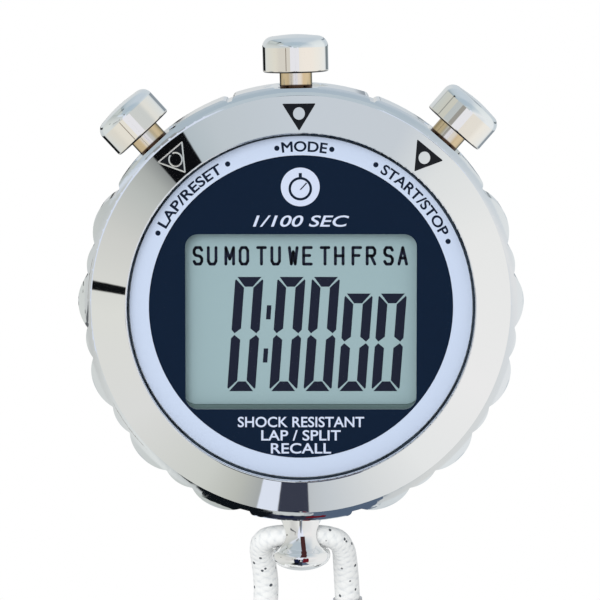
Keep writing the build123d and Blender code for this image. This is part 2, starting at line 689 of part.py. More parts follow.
# ---- buttons, all made at twelve o'clock ------------------------------------------------
def button_cap():
    """Cap with a well rounded outer edge, a slight dome and a blind bore for the stem."""
    r = CAP_D / 2
    top = CAP_R + CAP_H
    side_top = top - CAP_DOME - CAP_OUTER_R
    edge_x = r - CAP_OUTER_R
    turn = CAP_OUTER_R * (1 - math.sqrt(0.5))
    outline = [
        Line((0, CAP_R), (r - CAP_INNER_R, CAP_R)),
        ThreePointArc((r - CAP_INNER_R, CAP_R),
                      (r - CAP_INNER_R * (1 - math.sqrt(0.5)), CAP_R + CAP_INNER_R * (1 - math.sqrt(0.5))),
                      (r, CAP_R + CAP_INNER_R)),
        Line((r, CAP_R + CAP_INNER_R), (r, side_top)),
        ThreePointArc((r, side_top), (r - turn, side_top + CAP_OUTER_R - turn),
                      (edge_x, side_top + CAP_OUTER_R)),
        Spline((edge_x, side_top + CAP_OUTER_R), (0, top), tangents=((-1, 0.12), (-1, 0))),
        Line((0, top), (0, CAP_R)),
    ]
    cap = turned_button(make_face(outline))
    return cap - rod(CAP_BORE_D, CAP_R - 1, CAP_R + CAP_BORE_DEPTH)


def button_stem():
    """Stem with spigot, seal groove, spring shoulder and a thin pin with a clip groove."""
    groove = SHOULDER_R + RING_GROOVE_OFFSET
    stem = rod(STEM_D, SHOULDER_R, CAP_R)
    stem += rod(CAP_BORE_D - 0.04, CAP_R - EPS, CAP_R + CAP_BORE_DEPTH - 0.2)
    stem += rod(PIN_D, PIN_END_R, SHOULDER_R + EPS)
    core = STEM_D - 2 * RING_WIRE_D - 0.02
    stem -= rod(STEM_D + 1, groove, groove + RING_GROOVE_W) - rod(core, groove - 1, CAP_R)
    clip_in = CLIP_OUT_R - CLIP_T - 0.02
    return stem - (rod(PIN_D + 1, clip_in, CLIP_OUT_R + 0.02) - rod(PIN_D * 0.75, clip_in - 1, CAP_R))


def button_seal():
    """O-ring in the stem's groove."""
    place = SHOULDER_R + RING_GROOVE_OFFSET + RING_GROOVE_W / 2
    torus = Torus(STEM_D / 2 - RING_WIRE_D / 2, RING_WIRE_D / 2)
    return Pos(0, place, BUTTON_Z) * Rot(90, 0, 0) * torus


def button_spring():
    """Return spring between the shelf of the bore and the stem's shoulder."""
    spring = coil_spring(STEM_D - 0.3, SPRING_WIRE_D, SPRING_L - 2 * EPS, SPRING_COILS)
    return Pos(0, SHELF_R + EPS, BUTTON_Z) * Rot(-90, 0, 0) * spring


def button_clip():
    """Open clip that keeps the stem in the case."""
    clip = rod(CLIP_D, CLIP_OUT_R - CLIP_T, CLIP_OUT_R)
    clip -= rod(PIN_D * 0.75 + 0.04, 0, CAP_R)
    mouth = Box(CLIP_SLOT_W, 2 * CLIP_T + 1, CLIP_D)
    return clip - Pos(0, CLIP_OUT_R, BUTTON_Z - CLIP_D / 2) * mouth


# ---- cord post and cord -----------------------------------------------------------------
def cord_post():
    """Flared post screwed into the case at six o'clock, with an eye for the cord."""
    head_r = POST_HEAD_D / 2
    neck = [(r, POST_SEAT_R + t) for r, t in POST_NECK]
    widest = (head_r, POST_SEAT_R + POST_HEAD_AT)
    dome = EllipticalCenterArc((0, widest[1]), head_r, POST_L - POST_HEAD_AT,
                               start_angle=0, arc_size=86)
    outline = [
        Line((0, neck[0][1]), neck[0]),
        Spline(*neck, widest, tangents=((-0.05, 1), (0, 1))),
        dome,
        Polyline(dome @ 1, (0, (dome @ 1).Y), (0, neck[0][1])),
    ]
    head = turned_button(make_face(outline))
    outer = POST_NECK[1][0]
    half = [(0, outer + EYE_FLARE_L), (EYE_R + 2 * EYE_FLARE, outer + EYE_FLARE_L),
            (EYE_R, outer - EYE_FLARE_L)]
    eye = turned_upright(half + [(r, -z) for r, z in reversed(half)])
    head -= Pos(0, POST_SEAT_R + EYE_AT, BUTTON_Z) * Rot(0, 90, 0) * eye
    shank = rod(POST_SHANK_D, POST_SEAT_R - POST_SHANK_L, POST_SEAT_R + EPS)
    return at_clock(head + shank, 180)


def coil_point(angle, radius, z):
    """A point of the coil at an angle from +X about its centre."""
    turn = math.radians(angle)
    return (COIL_X + radius * math.cos(turn), COIL_Y + radius * math.sin(turn), z)


def corner_radii(points):
    """Radius of each corner: as large as the shorter of its two runs allows."""
    radii = []
    for before, corner, after in zip(points, points[1:], points[2:]):
        first = Vector(*corner) - Vector(*before)
        second = Vector(*after) - Vector(*corner)
        half_turn = math.radians(first.get_angle(second) / 2)
        radii.append(0.45 * min(first.length, second.length) / math.tan(half_turn))
    return radii


def cord_tube(name, points):
    """Plain tube of the cord along straight runs joined by tangent arcs."""
    radii = corner_radii(points)
    path = FilletPolyline(*points, radius=radii)
    section = Plane(origin=path @ 0, z_dir=path % 0) * Circle(CORD_D / 2)
    tube = sweep(section, path=path)
    expected = math.pi * (CORD_D / 2) ** 2 * path.length
    print(name, "length", round(path.length, 2), "radii", [round(r, 1) for r in radii])
    print(name, "volume", round(tube.volume, 2), "expected", round(expected, 2))
    return tube


def cord_left():
    """Left lead of the cord, from the middle of the eye to the coil."""
    end = coil_point(90 + COIL_LEAD_ANGLE, COIL_MEAN_R + COIL_HALF_BAND, COIL_Z)
    return cord_tube("cord_left", [*CORD_LEFT, end])


def cord_right():
    """Right lead of the cord, from the middle of the eye to the top layer of the coil."""
    end = coil_point(90 - COIL_LEAD_ANGLE, COIL_MEAN_R + COIL_HALF_BAND, COIL_Z + CORD_D)
    return cord_tube("cord_right", [*CORD_RIGHT, end])


def coil_section(grow):
    """Section of the put-away coil, two layers high, in (radius, height)."""
    half = COIL_HALF_BAND + CORD_D / 2 + grow
    height = 2 * CORD_D + 2 * grow
    corner = CORD_D / 2 + grow
    return Pos(COIL_MEAN_R, COIL_LIFT + CORD_D) * RectangleRounded(2 * half, height, corner)


def cord_coil():
    """Outer shape of the put-away coil."""
    return Pos(COIL_X, COIL_Y, 0) * revolve(Plane.XZ * coil_section(-EPS), Axis.Z)


def cord_tie():
    """Tie round the coil at the side away from the watch."""
    band = coil_section(TIE_T) - coil_section(0)
    tie = revolve(Plane.XZ * band, Axis.Z, TIE_SPAN)
    return Pos(COIL_X, COIL_Y, 0) * Rot(0, 0, -90 - TIE_SPAN / 2) * tie


def cord_sleeve():
    """Crimped sleeve that joins the two ends of the cord, on the right lead."""
    start, end = Vector(*CORD_RIGHT[4]), Vector(*CORD_RIGHT[5])
    place = Plane(origin=(start + end) / 2, z_dir=end - start)
    inner = CORD_D / 2
    return place * (Cylinder(inner + SLEEVE_WALL, SLEEVE_L) - Cylinder(inner, 2 * SLEEVE_L))


# ---- nodes ------------------------------------------------------------------------------
def all_nodes():
    """Every sub-part by node name, each one shape or a list of separate solids."""
    makers = (
        mid_case, front_bezel, bezel_markers, crystal, crystal_gasket, dial_ring, dial_plate,
        lcd_front_glass, lcd_rear_glass, lcd_reflector, lcd_cushion, contact_strips,
        module_frame, circuit_board, board_screws, timing_chip, oscillator, board_parts,
        switch_contacts, battery, battery_contact, battery_strap, buzzer_plate, buzzer_ceramic,
        buzzer_springs, back_cover, case_screws, back_gasket, cord_post, cord_left,
        cord_right, cord_coil, cord_tie, cord_sleeve,
    )
    nodes = {maker.__name__: maker() for maker in makers}
    pieces = {"cap": button_cap, "stem": button_stem, "seal": button_seal,
              "spring": button_spring, "clip": button_clip}
    for piece, maker in pieces.items():
        shape = maker()
        for name, angle in zip(BUTTON_NAMES, BUTTON_ANGLES):
            nodes[f"{name}_{piece}"] = at_clock(shape, angle)
    return nodes


def write_nodes():
    """Writes one STEP file for each node."""
    os.makedirs("parts", exist_ok=True)
    for name, shape in all_nodes().items():
        solids = [s for item in (shape if isinstance(shape, list) else [shape]) for s in item.solids()]
        body = solids[0] if len(solids) == 1 else Compound(children=solids)
        body.label = name
        export_step(body, os.path.join("parts", f"{name}.step"))


write_nodes()
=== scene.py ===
"""Looks of a hand-held digital stopwatch with a neck cord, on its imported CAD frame.

Row frame, metres: +Z out through the display, +Y towards the button at twelve o'clock.
Clock angles run clockwise from twelve o'clock, in degrees, seen from the front. Sizes are
in millimetres, unless their description says metres.
"""

from __future__ import annotations

import logging
import math
from dataclasses import dataclass, field
from enum import Enum
from typing import Callable

import bmesh
import bpy
from mathutils import Matrix, Vector

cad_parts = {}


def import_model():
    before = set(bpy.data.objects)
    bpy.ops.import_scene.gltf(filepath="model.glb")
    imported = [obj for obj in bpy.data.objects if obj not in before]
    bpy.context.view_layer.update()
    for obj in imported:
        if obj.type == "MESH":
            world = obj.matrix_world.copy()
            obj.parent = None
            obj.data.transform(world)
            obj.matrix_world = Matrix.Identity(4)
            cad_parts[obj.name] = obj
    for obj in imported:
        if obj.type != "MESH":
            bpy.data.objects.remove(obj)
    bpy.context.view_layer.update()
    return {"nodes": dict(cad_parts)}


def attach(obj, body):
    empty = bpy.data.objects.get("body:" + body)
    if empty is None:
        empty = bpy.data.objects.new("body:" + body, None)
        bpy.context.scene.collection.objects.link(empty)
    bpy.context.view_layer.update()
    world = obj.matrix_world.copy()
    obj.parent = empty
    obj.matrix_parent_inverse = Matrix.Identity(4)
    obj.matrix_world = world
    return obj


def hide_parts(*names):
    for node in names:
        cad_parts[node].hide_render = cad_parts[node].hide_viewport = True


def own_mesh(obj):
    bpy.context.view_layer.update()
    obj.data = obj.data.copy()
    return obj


LOG = logging.getLogger("stopwatch")
MM = 0.001

Colour = tuple[float, float, float]
Point = tuple[float, float]
Place = tuple[float, float, float]
Outline = list[Point]
Socket = bpy.types.NodeSocket

# The CAD body that every added piece rides on.
CASE = "case"
# Two corners of a CAD mesh that lie closer than this, in metres, are one.
MERGE_DISTANCE = 1e-7

# Heights of the printed levels and thickness of the print.
RING_Z = 15.9
DIAL_Z = 15.65
DISPLAY_Z = 13.9
PRINT_T = 0.015


class Button(Enum):
    """The push buttons, each with its clock angle."""

    LAP_RESET = -42.8
    MODE = -1.3
    START_STOP = 41.1

    @property
    def key(self) -> str:
        """Start of the names of the button's CAD nodes and of its joint."""
        return self.name.lower()


def tone(red: float, green: float, blue: float) -> Colour:
    """Turns a display colour into scene-linear values.

    Args:
        red: Red, 0 to 255.
        green: Green, 0 to 255.
        blue: Blue, 0 to 255.

    Returns:
        The linear values, 0 to 1.
    """

    def linear(value: float) -> float:
        """Undoes the sRGB curve for one channel."""
        share = value / 255
        return share / 12.92 if share <= 0.04045 else ((share + 0.055) / 1.055) ** 2.4

    return (linear(red), linear(green), linear(blue))


def clock_point(angle: float, radius: float) -> Point:
    """Plan position at a clock angle.

    Args:
        angle: Clock angle.
        radius: Distance from the case axis.

    Returns:
        The x and y of the point, in the radius's unit.
    """
    turn = math.radians(angle)
    return (radius * math.sin(turn), radius * math.cos(turn))


def outwards(place: Vector) -> Vector:
    """Level direction from the case axis to a place."""
    return Vector((place.x, place.y, 0)).normalized()


# ---- shader nodes -----------------------------------------------------------------------
class Graph:
    """Thin wrapper that builds shader nodes with short calls.

    Attributes:
        tree: The node tree that it adds to.
    """

    def __init__(self, tree: bpy.types.NodeTree) -> None:
        """Wraps a node tree."""
        self.tree = tree

    @classmethod
    def fresh(cls, owner: bpy.types.Material | bpy.types.World) -> Graph:
        """Empties the node tree of a material or a world and wraps it.

        Args:
            owner: The material or world.

        Returns:
            The wrapped tree.
        """
        owner.use_nodes = True
        owner.node_tree.nodes.clear()
        return cls(owner.node_tree)

    def node(self, kind: str, inputs: dict | None = None, **settings: object) -> bpy.types.Node:
        """Adds a node.

        Args:
            kind: Node type without the ShaderNode prefix.
            inputs: Socket name or index to a constant or to another node's output.
            **settings: Attributes of the node itself.

        Returns:
            The new node.
        """
        made = self.tree.nodes.new(f"ShaderNode{kind}")
        for name, value in settings.items():
            setattr(made, name, value)
        for key, value in (inputs or {}).items():
            entry = made.inputs[key]
            if isinstance(value, Socket):
                self.tree.links.new(value, entry)
            elif entry.type == "RGBA" and len(value) == 3:
                entry.default_value = (*value, 1.0)
            else:
                entry.default_value = value
        return made

    def feed(self, node: bpy.types.Node, name: str, value: Socket) -> None:
        """Links an output to a named input of a node."""
        self.tree.links.new(value, node.inputs[name])

    def coordinate(self, kind: str) -> Socket:
        """One output of a Texture Coordinate node."""
        return self.node("TexCoord").outputs[kind]

    def math(self, operation: str, *values: float | Socket) -> Socket:
        """A math node's output for constants or sockets."""
        return self.node("Math", dict(enumerate(values)), operation=operation).outputs[0]

    def vector(self, operation: str, *values: Place | Socket) -> bpy.types.Node:
        """A vector math node for constants or sockets."""
        return self.node("VectorMath", dict(enumerate(values)), operation=operation)

    def level_place(self) -> Socket:
        """Place on the object without its height, so measured from the case axis."""
        flat = self.vector("MULTIPLY", self.coordinate("Object"), (1.0, 1.0, 0.0))
        return flat.outputs[0]

    def up_or_down(self, normal: Socket) -> Socket:
        """How far a normal points straight up or down, 0 to 1."""
        return self.math("ABSOLUTE", self.node("SeparateXYZ", {0: normal}).outputs["Z"])

    def fade(self, value: Socket, start: float, end: float) -> Socket:
        """Smooth step of a value.

        Args:
            value: The value.
            start: Where the step is 0.
            end: Where the step is 1.

        Returns:
            The step's output.
        """
        inputs = {"Value": value, "From Min": start, "From Max": end}
        return self.node("MapRange", inputs, interpolation_type="SMOOTHSTEP").outputs["Result"]

    def mix(self, share: Socket, first: Colour | Socket, second: Colour | Socket) -> Socket:
        """Colour mix that goes from the first to the second with the share."""
        made = self.node("MixRGB", {"Fac": share, "Color1": first, "Color2": second})
        return made.outputs["Color"]

    def ramp(self, value: Socket, stops: list[tuple[float, Colour]]) -> Socket:
        """Colour ramp over a value.

        Args:
            value: The value, 0 to 1.
            stops: Positions in rising order, each with its colour.

        Returns:
            The ramp's colour.
        """
        made = self.node("ValToRGB", {"Fac": value})
        elements = made.color_ramp.elements
        while len(elements) < len(stops):
            elements.new(1.0)
        for element, (position, colour) in zip(elements, stops):
            element.position = position
            element.color = (*colour, 1.0)
        return made.outputs["Color"]

    def bump(self, shader: bpy.types.Node, height: Socket, distance: float,
             strength: float = 1.0) -> None:
        """Raises a shader's surface.

        Args:
            shader: The shader.
            height: Height of the surface, 0 to 1.
            distance: What a height of 1 stands for, in metres.
            strength: Strength of the effect.
        """
        inputs = {"Height": height, "Distance": distance, "Strength": strength}
        self.feed(shader, "Normal", self.node("Bump", inputs).outputs[0])


@dataclass(frozen=True)
class Finish:
    """A plain surface with one Principled shader.

    Attributes:
        name: Name of the material.
        colour: Display colour, 0 to 255.
        metallic: 1 for bare metal.
        roughness: Surface roughness.
        specular: Strength of the reflection of a non-metal.
        grain: Height of a fine surface grain, in metres.
    """

    name: str
    colour: Colour
    metallic: float = 0.0
    roughness: float = 0.5
    specular: float = 0.5
    grain: float = 0.0

    GRAIN_SCALE = 9000.0

    def paint(self, graph: Graph, shader: bpy.types.Node) -> None:
        """Adds what goes beyond the constants of the shader.

        Args:
            graph: The material's nodes.
            shader: Its Principled shader.
        """
        if self.grain:
            inputs = {"Vector": graph.coordinate("Object"), "Scale": self.GRAIN_SCALE}
            graph.bump(shader, graph.node("TexNoise", inputs).outputs[0], self.grain)

    def surface(self, graph: Graph, shader: bpy.types.Node) -> Socket:
        """The output that goes to the material's surface."""
        return shader.outputs[0]

    def build(self) -> bpy.types.Material:
        """Makes the material.

        Returns:
            The material, or the one of this name that was made before.
        """
        known = bpy.data.materials.get(self.name)
        if known:
            return known
        material = bpy.data.materials.new(self.name)
        graph = Graph.fresh(material)
        shader = graph.node(
            "BsdfPrincipled",
            {
                "Base Color": tone(*self.colour),
                "Metallic": self.metallic,
                "Roughness": self.roughness,
                "Specular IOR Level": self.specular,
            },
        )
        self.paint(graph, shader)
        graph.node("OutputMaterial", {"Surface": self.surface(graph, shader)})
        return material


@dataclass(frozen=True)
class ClearFinish(Finish):
    """Clear sheet: mostly see-through, with a faint reflection.

    Attributes:
        haze: Share of the light that the sheet itself sends back.
    """

    haze: float = 0.02

    def surface(self, graph: Graph, shader: bpy.types.Node) -> Socket:
        """Mixes the shader with plain transparency.

        Args:
            graph: The material's nodes.
            shader: Its Principled shader.

        Returns:
            The mixed shader.
        """
        clear = graph.node("BsdfTransparent")
        made = graph.node("MixShader", {0: self.haze, 1: clear.outputs[0], 2: shader.outputs[0]})
        return made.outputs[0]


@dataclass(frozen=True)
class WallFinish(Finish):
    """Printed face with upright walls of another colour.

    Attributes:
        wall: Display colour of the upright walls.
    """

    wall: Colour = (110, 120, 130)

    WALL_FADE = (0.4, 0.6)

    def paint(self, graph: Graph, shader: bpy.types.Node) -> None:
        """Colours upright faces as walls.

        Args:
            graph: The material's nodes.
            shader: Its Principled shader.
        """
        up = graph.up_or_down(graph.node("NewGeometry").outputs["True Normal"])
        level = graph.fade(up, *self.WALL_FADE)
        colour = graph.mix(level, tone(*self.wall), tone(*self.colour))
        graph.feed(shader, "Base Color", colour)


@dataclass(frozen=True)
class TurnedFinish(Finish):
    """Metal with fine turning marks round the case axis."""

    MARK_SCALE = 8000.0
    MARK_DEPTH = 0.00002
    MARK_STRENGTH = 0.5

    def paint(self, graph: Graph, shader: bpy.types.Node) -> None:
        """Adds rings of a slightly varying height.

        Args:
            graph: The material's nodes.
            shader: Its Principled shader.
        """
        radius = graph.vector("LENGTH", graph.level_place()).outputs["Value"]
        marks = graph.node("TexNoise", {"W": radius, "Scale": self.MARK_SCALE},
                           noise_dimensions="1D")
        graph.bump(shader, marks.outputs[0], self.MARK_DEPTH, self.MARK_STRENGTH)


@dataclass(frozen=True)
class CapFinish(Finish):
    """Plated button cap: warm flank, a cooler crown by painted reflection, and a dark inner rim
    by painted shade.

    Attributes:
        crown: Display colour of the painted reflection on the crown.
        rim: Display colour of the painted shade on the rim that faces the case.
    """

    # Painted reflection on the crown, painted shade on the rim.
    crown: Colour = (241, 246, 248)
    rim: Colour = (46, 46, 50)

    CROWN_REFLECTION_FADE = (0.03, 0.16)
    RIM_SHADE_FADE = (-0.12, -0.5)

    def paint(self, graph: Graph, shader: bpy.types.Node) -> None:
        """Paints a reflection on the crown and shade on the rim, by how far a face looks away
        from the case axis.

        Args:
            graph: The material's nodes.
            shader: Its Principled shader.
        """
        away = graph.vector("NORMALIZE", graph.level_place()).outputs[0]
        facing = graph.vector("DOT_PRODUCT", away, graph.coordinate("Normal")).outputs["Value"]
        # Painted reflection where faces look away from the case axis, painted shade where they
        # look towards it.
        colour = graph.mix(
            graph.fade(facing, *self.CROWN_REFLECTION_FADE), tone(*self.colour), tone(*self.crown)
        )
        colour = graph.mix(graph.fade(facing, *self.RIM_SHADE_FADE), colour, tone(*self.rim))
        graph.feed(shader, "Base Color", colour)


@dataclass(frozen=True)
class StemFinish(Finish):
    """Brass stem with painted light: a ring of painted shade where it leaves the case, painted
    shade on its flanks and a painted highlight along its top.

    Attributes:
        oil: Display colour of the ring of painted shade where the stem leaves the case.
        top: Display colour of the painted highlight along the line that faces the viewer of the
            display.
        side: Display colour of the painted shade on the flanks.
        start: Distance of the ring's inner edge from the case axis, in metres.
        end: Distance of its outer edge, in metres.
        soft: Width of its soft edges, in metres.
    """

    # Painted shade at the foot and on the flanks, painted highlight along the top.
    oil: Colour = (74, 56, 44)
    top: Colour = (240, 232, 222)
    side: Colour = (176, 156, 116)
    start: float = 0.0298
    end: float = 0.0309
    soft: float = 0.0002

    FLANK_SHADE_FADE = (0.35, 0.7)
    TOP_HIGHLIGHT_FADE = (0.88, 0.98)

    def paint(self, graph: Graph, shader: bpy.types.Node) -> None:
        """Paints a highlight along the top of the stem and shade on its flanks and at its foot.

        Args:
            graph: The material's nodes.
            shader: Its Principled shader.
        """
        away = graph.vector("LENGTH", graph.level_place()).outputs["Value"]
        # Where the ring of painted shade lies, by distance from the case axis.
        foot_shade_mask = graph.math(
            "MULTIPLY",
            graph.fade(away, self.start - self.soft, self.start),
            graph.fade(away, self.end + self.soft, self.end),
        )
        up = graph.up_or_down(graph.coordinate("Normal"))
        # Painted shade on the flanks and painted highlight on the top, by how far a face looks up
        # or down.
        wear_and_sheen = graph.mix(graph.fade(up, *self.FLANK_SHADE_FADE), tone(*self.side), tone(*self.colour))
        wear_and_sheen = graph.mix(graph.fade(up, *self.TOP_HIGHLIGHT_FADE), wear_and_sheen, tone(*self.top))
        graph.feed(shader, "Base Color", graph.mix(foot_shade_mask, wear_and_sheen, tone(*self.oil)))


def braid_group() -> bpy.types.NodeTree:
    """Shader group of a round braid: two soft courses of strands that cross.

    Returns:
        The group, which turns places along and around the braid into a height.
    """
    known = bpy.data.node_groups.get("round_braid")
    if known:
        return known
    tree = bpy.data.node_groups.new("round_braid", "ShaderNodeTree")
    for name in ("Along", "Around"):
        tree.interface.new_socket(name, in_out="INPUT", socket_type="NodeSocketFloat")
    tree.interface.new_socket("Height", in_out="OUTPUT", socket_type="NodeSocketFloat")
    graph = Graph(tree)
    given = tree.nodes.new("NodeGroupInput")
    heights = []
    for operation in ("ADD", "SUBTRACT"):
        course = graph.math(operation, given.outputs["Along"], given.outputs["Around"])
        across = graph.math("SUBTRACT", graph.math("FRACT", course), 0.5)
        bend = graph.math("MULTIPLY", graph.math("MULTIPLY", across, across), 4.0)
        heights.append(graph.math("SUBTRACT", 1.0, bend))
    mean = graph.math("MULTIPLY", graph.math("ADD", *heights), 0.5)
    graph.feed(tree.nodes.new("NodeGroupOutput"), "Height", mean)
    return tree


@dataclass(frozen=True)
class BraidFinish(Finish):
    """Braided cord, its strands drawn along the curve's own coordinates.

    Attributes:
        length: Length of the cord in metres.
        stitch: Length of one crossing along the cord, in metres.
        strands: Crossings round the cord.
        gap_shade: Display colour of the painted shade in the gaps between strands.
        fleck: Display colour of the few dark flecks.
    """

    length: float = 1.0
    stitch: float = 0.0016
    strands: float = 4.0
    gap_shade: Colour = (228, 231, 233)
    fleck: Colour = (84, 88, 94)

    WANDER_SCALE = 500.0
    WANDER = 0.7
    FLUFF_SCALE = 1500.0
    FLUFF = 1.2
    GAP_SHADE_FADE = (0.5, 1.5)
    FLECK_SCALE = 640.0
    FLECK_FLUFF = 0.1
    FLECK_FADE = (0.23, 0.17)
    RELIEF = 0.00008
    RELIEF_STRENGTH = 0.6

    def paint(self, graph: Graph, shader: bpy.types.Node) -> None:
        """Adds the braid's relief, painted shade in its gaps and a few dark flecks.

        Args:
            graph: The material's nodes.
            shader: Its Principled shader.
        """
        along, around, _ = graph.node("SeparateXYZ", {0: graph.coordinate("UV")}).outputs
        place = graph.coordinate("Object")
        drift = graph.node("TexNoise", {"Vector": place, "Scale": self.WANDER_SCALE}).outputs[0]
        wander = graph.math("MULTIPLY", drift, self.WANDER)
        along = graph.math("MULTIPLY", along, self.length / self.stitch)
        braid = graph.node("Group", node_tree=braid_group())
        graph.feed(braid, "Along", graph.math("ADD", along, wander))
        graph.feed(braid, "Around", graph.math("MULTIPLY", around, self.strands))
        fluff = graph.node("TexNoise", {"Vector": place, "Scale": self.FLUFF_SCALE}).outputs[0]
        raised = graph.math("MULTIPLY", fluff, self.FLUFF)
        relief = graph.math("ADD", braid.outputs["Height"], raised)
        # Painted shade where the relief is low, in the gaps between strands.
        shade = graph.mix(graph.fade(relief, *self.GAP_SHADE_FADE), tone(*self.gap_shade), tone(*self.colour))
        cells = graph.node("TexVoronoi", {"Vector": place, "Scale": self.FLECK_SCALE})
        ragged = graph.math("MULTIPLY", fluff, self.FLECK_FLUFF)
        spot = graph.math("ADD", cells.outputs["Distance"], ragged)
        colour = graph.mix(graph.fade(spot, *self.FLECK_FADE), shade, tone(*self.fleck))
        graph.feed(shader, "Base Color", colour)
        graph.bump(shader, relief, self.RELIEF, self.RELIEF_STRENGTH)


# ---- finishes ---------------------------------------------------------------------------
CHROME = Finish("polished chrome", (247, 247, 247), metallic=1.0, roughness=0.03)
CASE_CHROME = Finish("case chrome", (235, 239, 242), metallic=1.0, roughness=0.04)
CAP_CHROME = CapFinish("button chrome", (252, 246, 236), metallic=1.0, roughness=0.04)
STEM_BRASS = StemFinish("stem brass", (226, 203, 166), metallic=1.0, roughness=0.1)
BRASS = Finish("polished brass", (226, 200, 156), metallic=1.0, roughness=0.2)
WORN = Finish("worn edge", (250, 248, 244), metallic=1.0, roughness=0.55)
ENAMEL = Finish("black enamel", (9, 12, 20), roughness=0.35, specular=0.2)
CRYSTAL = ClearFinish("clear crystal", (235, 240, 250), roughness=0.05, specular=0.5, haze=0.002)
RUBBER = Finish("black rubber", (14, 22, 34), roughness=0.6, specular=0.2)
SOFT_SEAL = Finish("dark grey rubber", (40, 52, 64), roughness=0.6, specular=0.2)
RING_PAINT = Finish("pale ring paint", (201, 214, 236), roughness=0.55, specular=0.1)
DIAL_PRINT = WallFinish("navy dial print", (10, 28, 50), roughness=0.6, specular=0.02,
                        wall=(128, 142, 148))
LCD_GLASS = Finish("display glass", (153, 177, 182), roughness=0.6, specular=0.05)
LCD_FOIL = Finish("display foil", (150, 160, 164), metallic=0.6, roughness=0.4)
LCD_DARK = Finish("display segment", (30, 34, 50), roughness=0.8, specular=0.0)
CUSHION = Finish("grey cushion", (94, 114, 114), roughness=0.9, specular=0.05)
PALE_PRINT = Finish("pale print", (206, 216, 238), roughness=0.6, specular=0.05)
DARK_PRINT = Finish("dark print", (14, 28, 48), roughness=0.6, specular=0.05)
STEEL = Finish("bright steel", (190, 190, 192), metallic=1.0, roughness=0.25)
SPRING = Finish("spring wire", (150, 150, 152), metallic=1.0, roughness=0.3)
BLACK_STEEL = Finish("phosphated steel", (60, 60, 62), metallic=1.0, roughness=0.5)
TURNED = TurnedFinish("turned steel", (205, 206, 208), metallic=1.0, roughness=0.22)
PLASTIC = Finish("black plastic", (32, 33, 35), roughness=0.5)
BOARD = Finish("green board", (30, 92, 58), roughness=0.4)
RESIN = Finish("black resin", (16, 16, 17), roughness=0.25)
BROWN = Finish("ceramic body", (150, 122, 92), roughness=0.5)
WHITE = Finish("white ceramic", (222, 220, 212), roughness=0.5)
TIE = Finish("black tie", (30, 30, 31), roughness=0.85, grain=0.00003)
STRIPED = Finish("striped silicone", (60, 60, 64), roughness=0.7)

NODE_FINISHES = {
    "mid_case": CASE_CHROME, "front_bezel": CHROME, "bezel_markers": ENAMEL, "crystal": CRYSTAL,
    "crystal_gasket": SOFT_SEAL, "dial_ring": RING_PAINT, "dial_plate": DIAL_PRINT,
    "lcd_front_glass": LCD_GLASS, "lcd_rear_glass": LCD_GLASS, "lcd_reflector": LCD_FOIL,
    "lcd_cushion": CUSHION, "contact_strips": STRIPED, "module_frame": PLASTIC,
    "circuit_board": BOARD, "board_screws": STEEL, "timing_chip": RESIN, "oscillator": STEEL,
    "board_parts": BROWN, "switch_contacts": BRASS, "battery": STEEL, "battery_contact": BRASS,
    "battery_strap": STEEL, "buzzer_plate": BRASS, "buzzer_ceramic": WHITE,
    "buzzer_springs": SPRING, "back_cover": TURNED, "case_screws": STEEL, "back_gasket": RUBBER,
    "cord_post": CHROME, "cord_tie": TIE, "cord_sleeve": STEEL,
}
BUTTON_FINISHES = {
    "cap": CAP_CHROME, "stem": STEM_BRASS, "seal": RUBBER, "spring": SPRING, "clip": BLACK_STEEL,
}


# ---- meshes -----------------------------------------------------------------------------
def write_mesh(name: str, shape: bmesh.types.BMesh) -> bpy.types.Mesh:
    """Writes a bmesh to a new mesh and frees it.

    Args:
        name: Name of the mesh.
        shape: The bmesh.

    Returns:
        The mesh.
    """
    mesh = bpy.data.meshes.new(name)
    shape.to_mesh(mesh)
    shape.free()
    return mesh


def outward_mesh(name: str, shape: bmesh.types.BMesh) -> bpy.types.Mesh:
    """Turns a bmesh's faces outwards, writes it to a new mesh and frees it."""
    bmesh.ops.recalc_face_normals(shape, faces=shape.faces)
    return write_mesh(name, shape)


def merged_copy(node: bpy.types.Object) -> bmesh.types.BMesh:
    """Copies a CAD node's mesh and joins its loose triangles.

    Args:
        node: The CAD node.

    Returns:
        The joined copy, in metres.
    """
    shape = bmesh.new()
    shape.from_mesh(node.data)
    bmesh.ops.remove_doubles(shape, verts=shape.verts, dist=MERGE_DISTANCE)
    return shape


def place_mesh(name: str, mesh: bpy.types.Mesh, finish: Finish) -> bpy.types.Object:
    """Links a finished mesh as a piece that rides on the case.

    Args:
        name: Name of the piece.
        mesh: Mesh in the row frame, in metres.
        finish: Its surface.

    Returns:
        The new object.
    """
    piece = bpy.data.objects.new(name, mesh)
    mesh.materials.clear()
    mesh.materials.append(finish.build())
    bpy.context.scene.collection.objects.link(piece)
    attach(piece, CASE)
    LOG.info("%s: %d faces in %s", name, len(mesh.polygons), finish.name)
    return piece


def flat_plates(outlines: list[Outline], height: float, thickness: float) -> bmesh.types.BMesh:
    """Thin plates from plan outlines.

    Args:
        outlines: Outline of each plate.
        height: Height of the underside.
        thickness: Thickness of the plates.

    Returns:
        The plates, in metres.
    """
    plates = bmesh.new()
    for outline in outlines:
        plates.faces.new([plates.verts.new((x * MM, y * MM, height * MM)) for x, y in outline])
    grown = bmesh.ops.extrude_face_region(plates, geom=plates.faces[:])["geom"]
    tops = [item for item in grown if isinstance(item, bmesh.types.BMVert)]
    bmesh.ops.translate(plates, vec=(0, 0, thickness * MM), verts=tops)
    return plates


def circle_outline(x: float, y: float, radius: float, steps: int) -> Outline:
    """Outline of a circle round a point."""
    turns = [2 * math.pi * step / steps for step in range(steps)]
    return [(x + radius * math.cos(turn), y + radius * math.sin(turn)) for turn in turns]


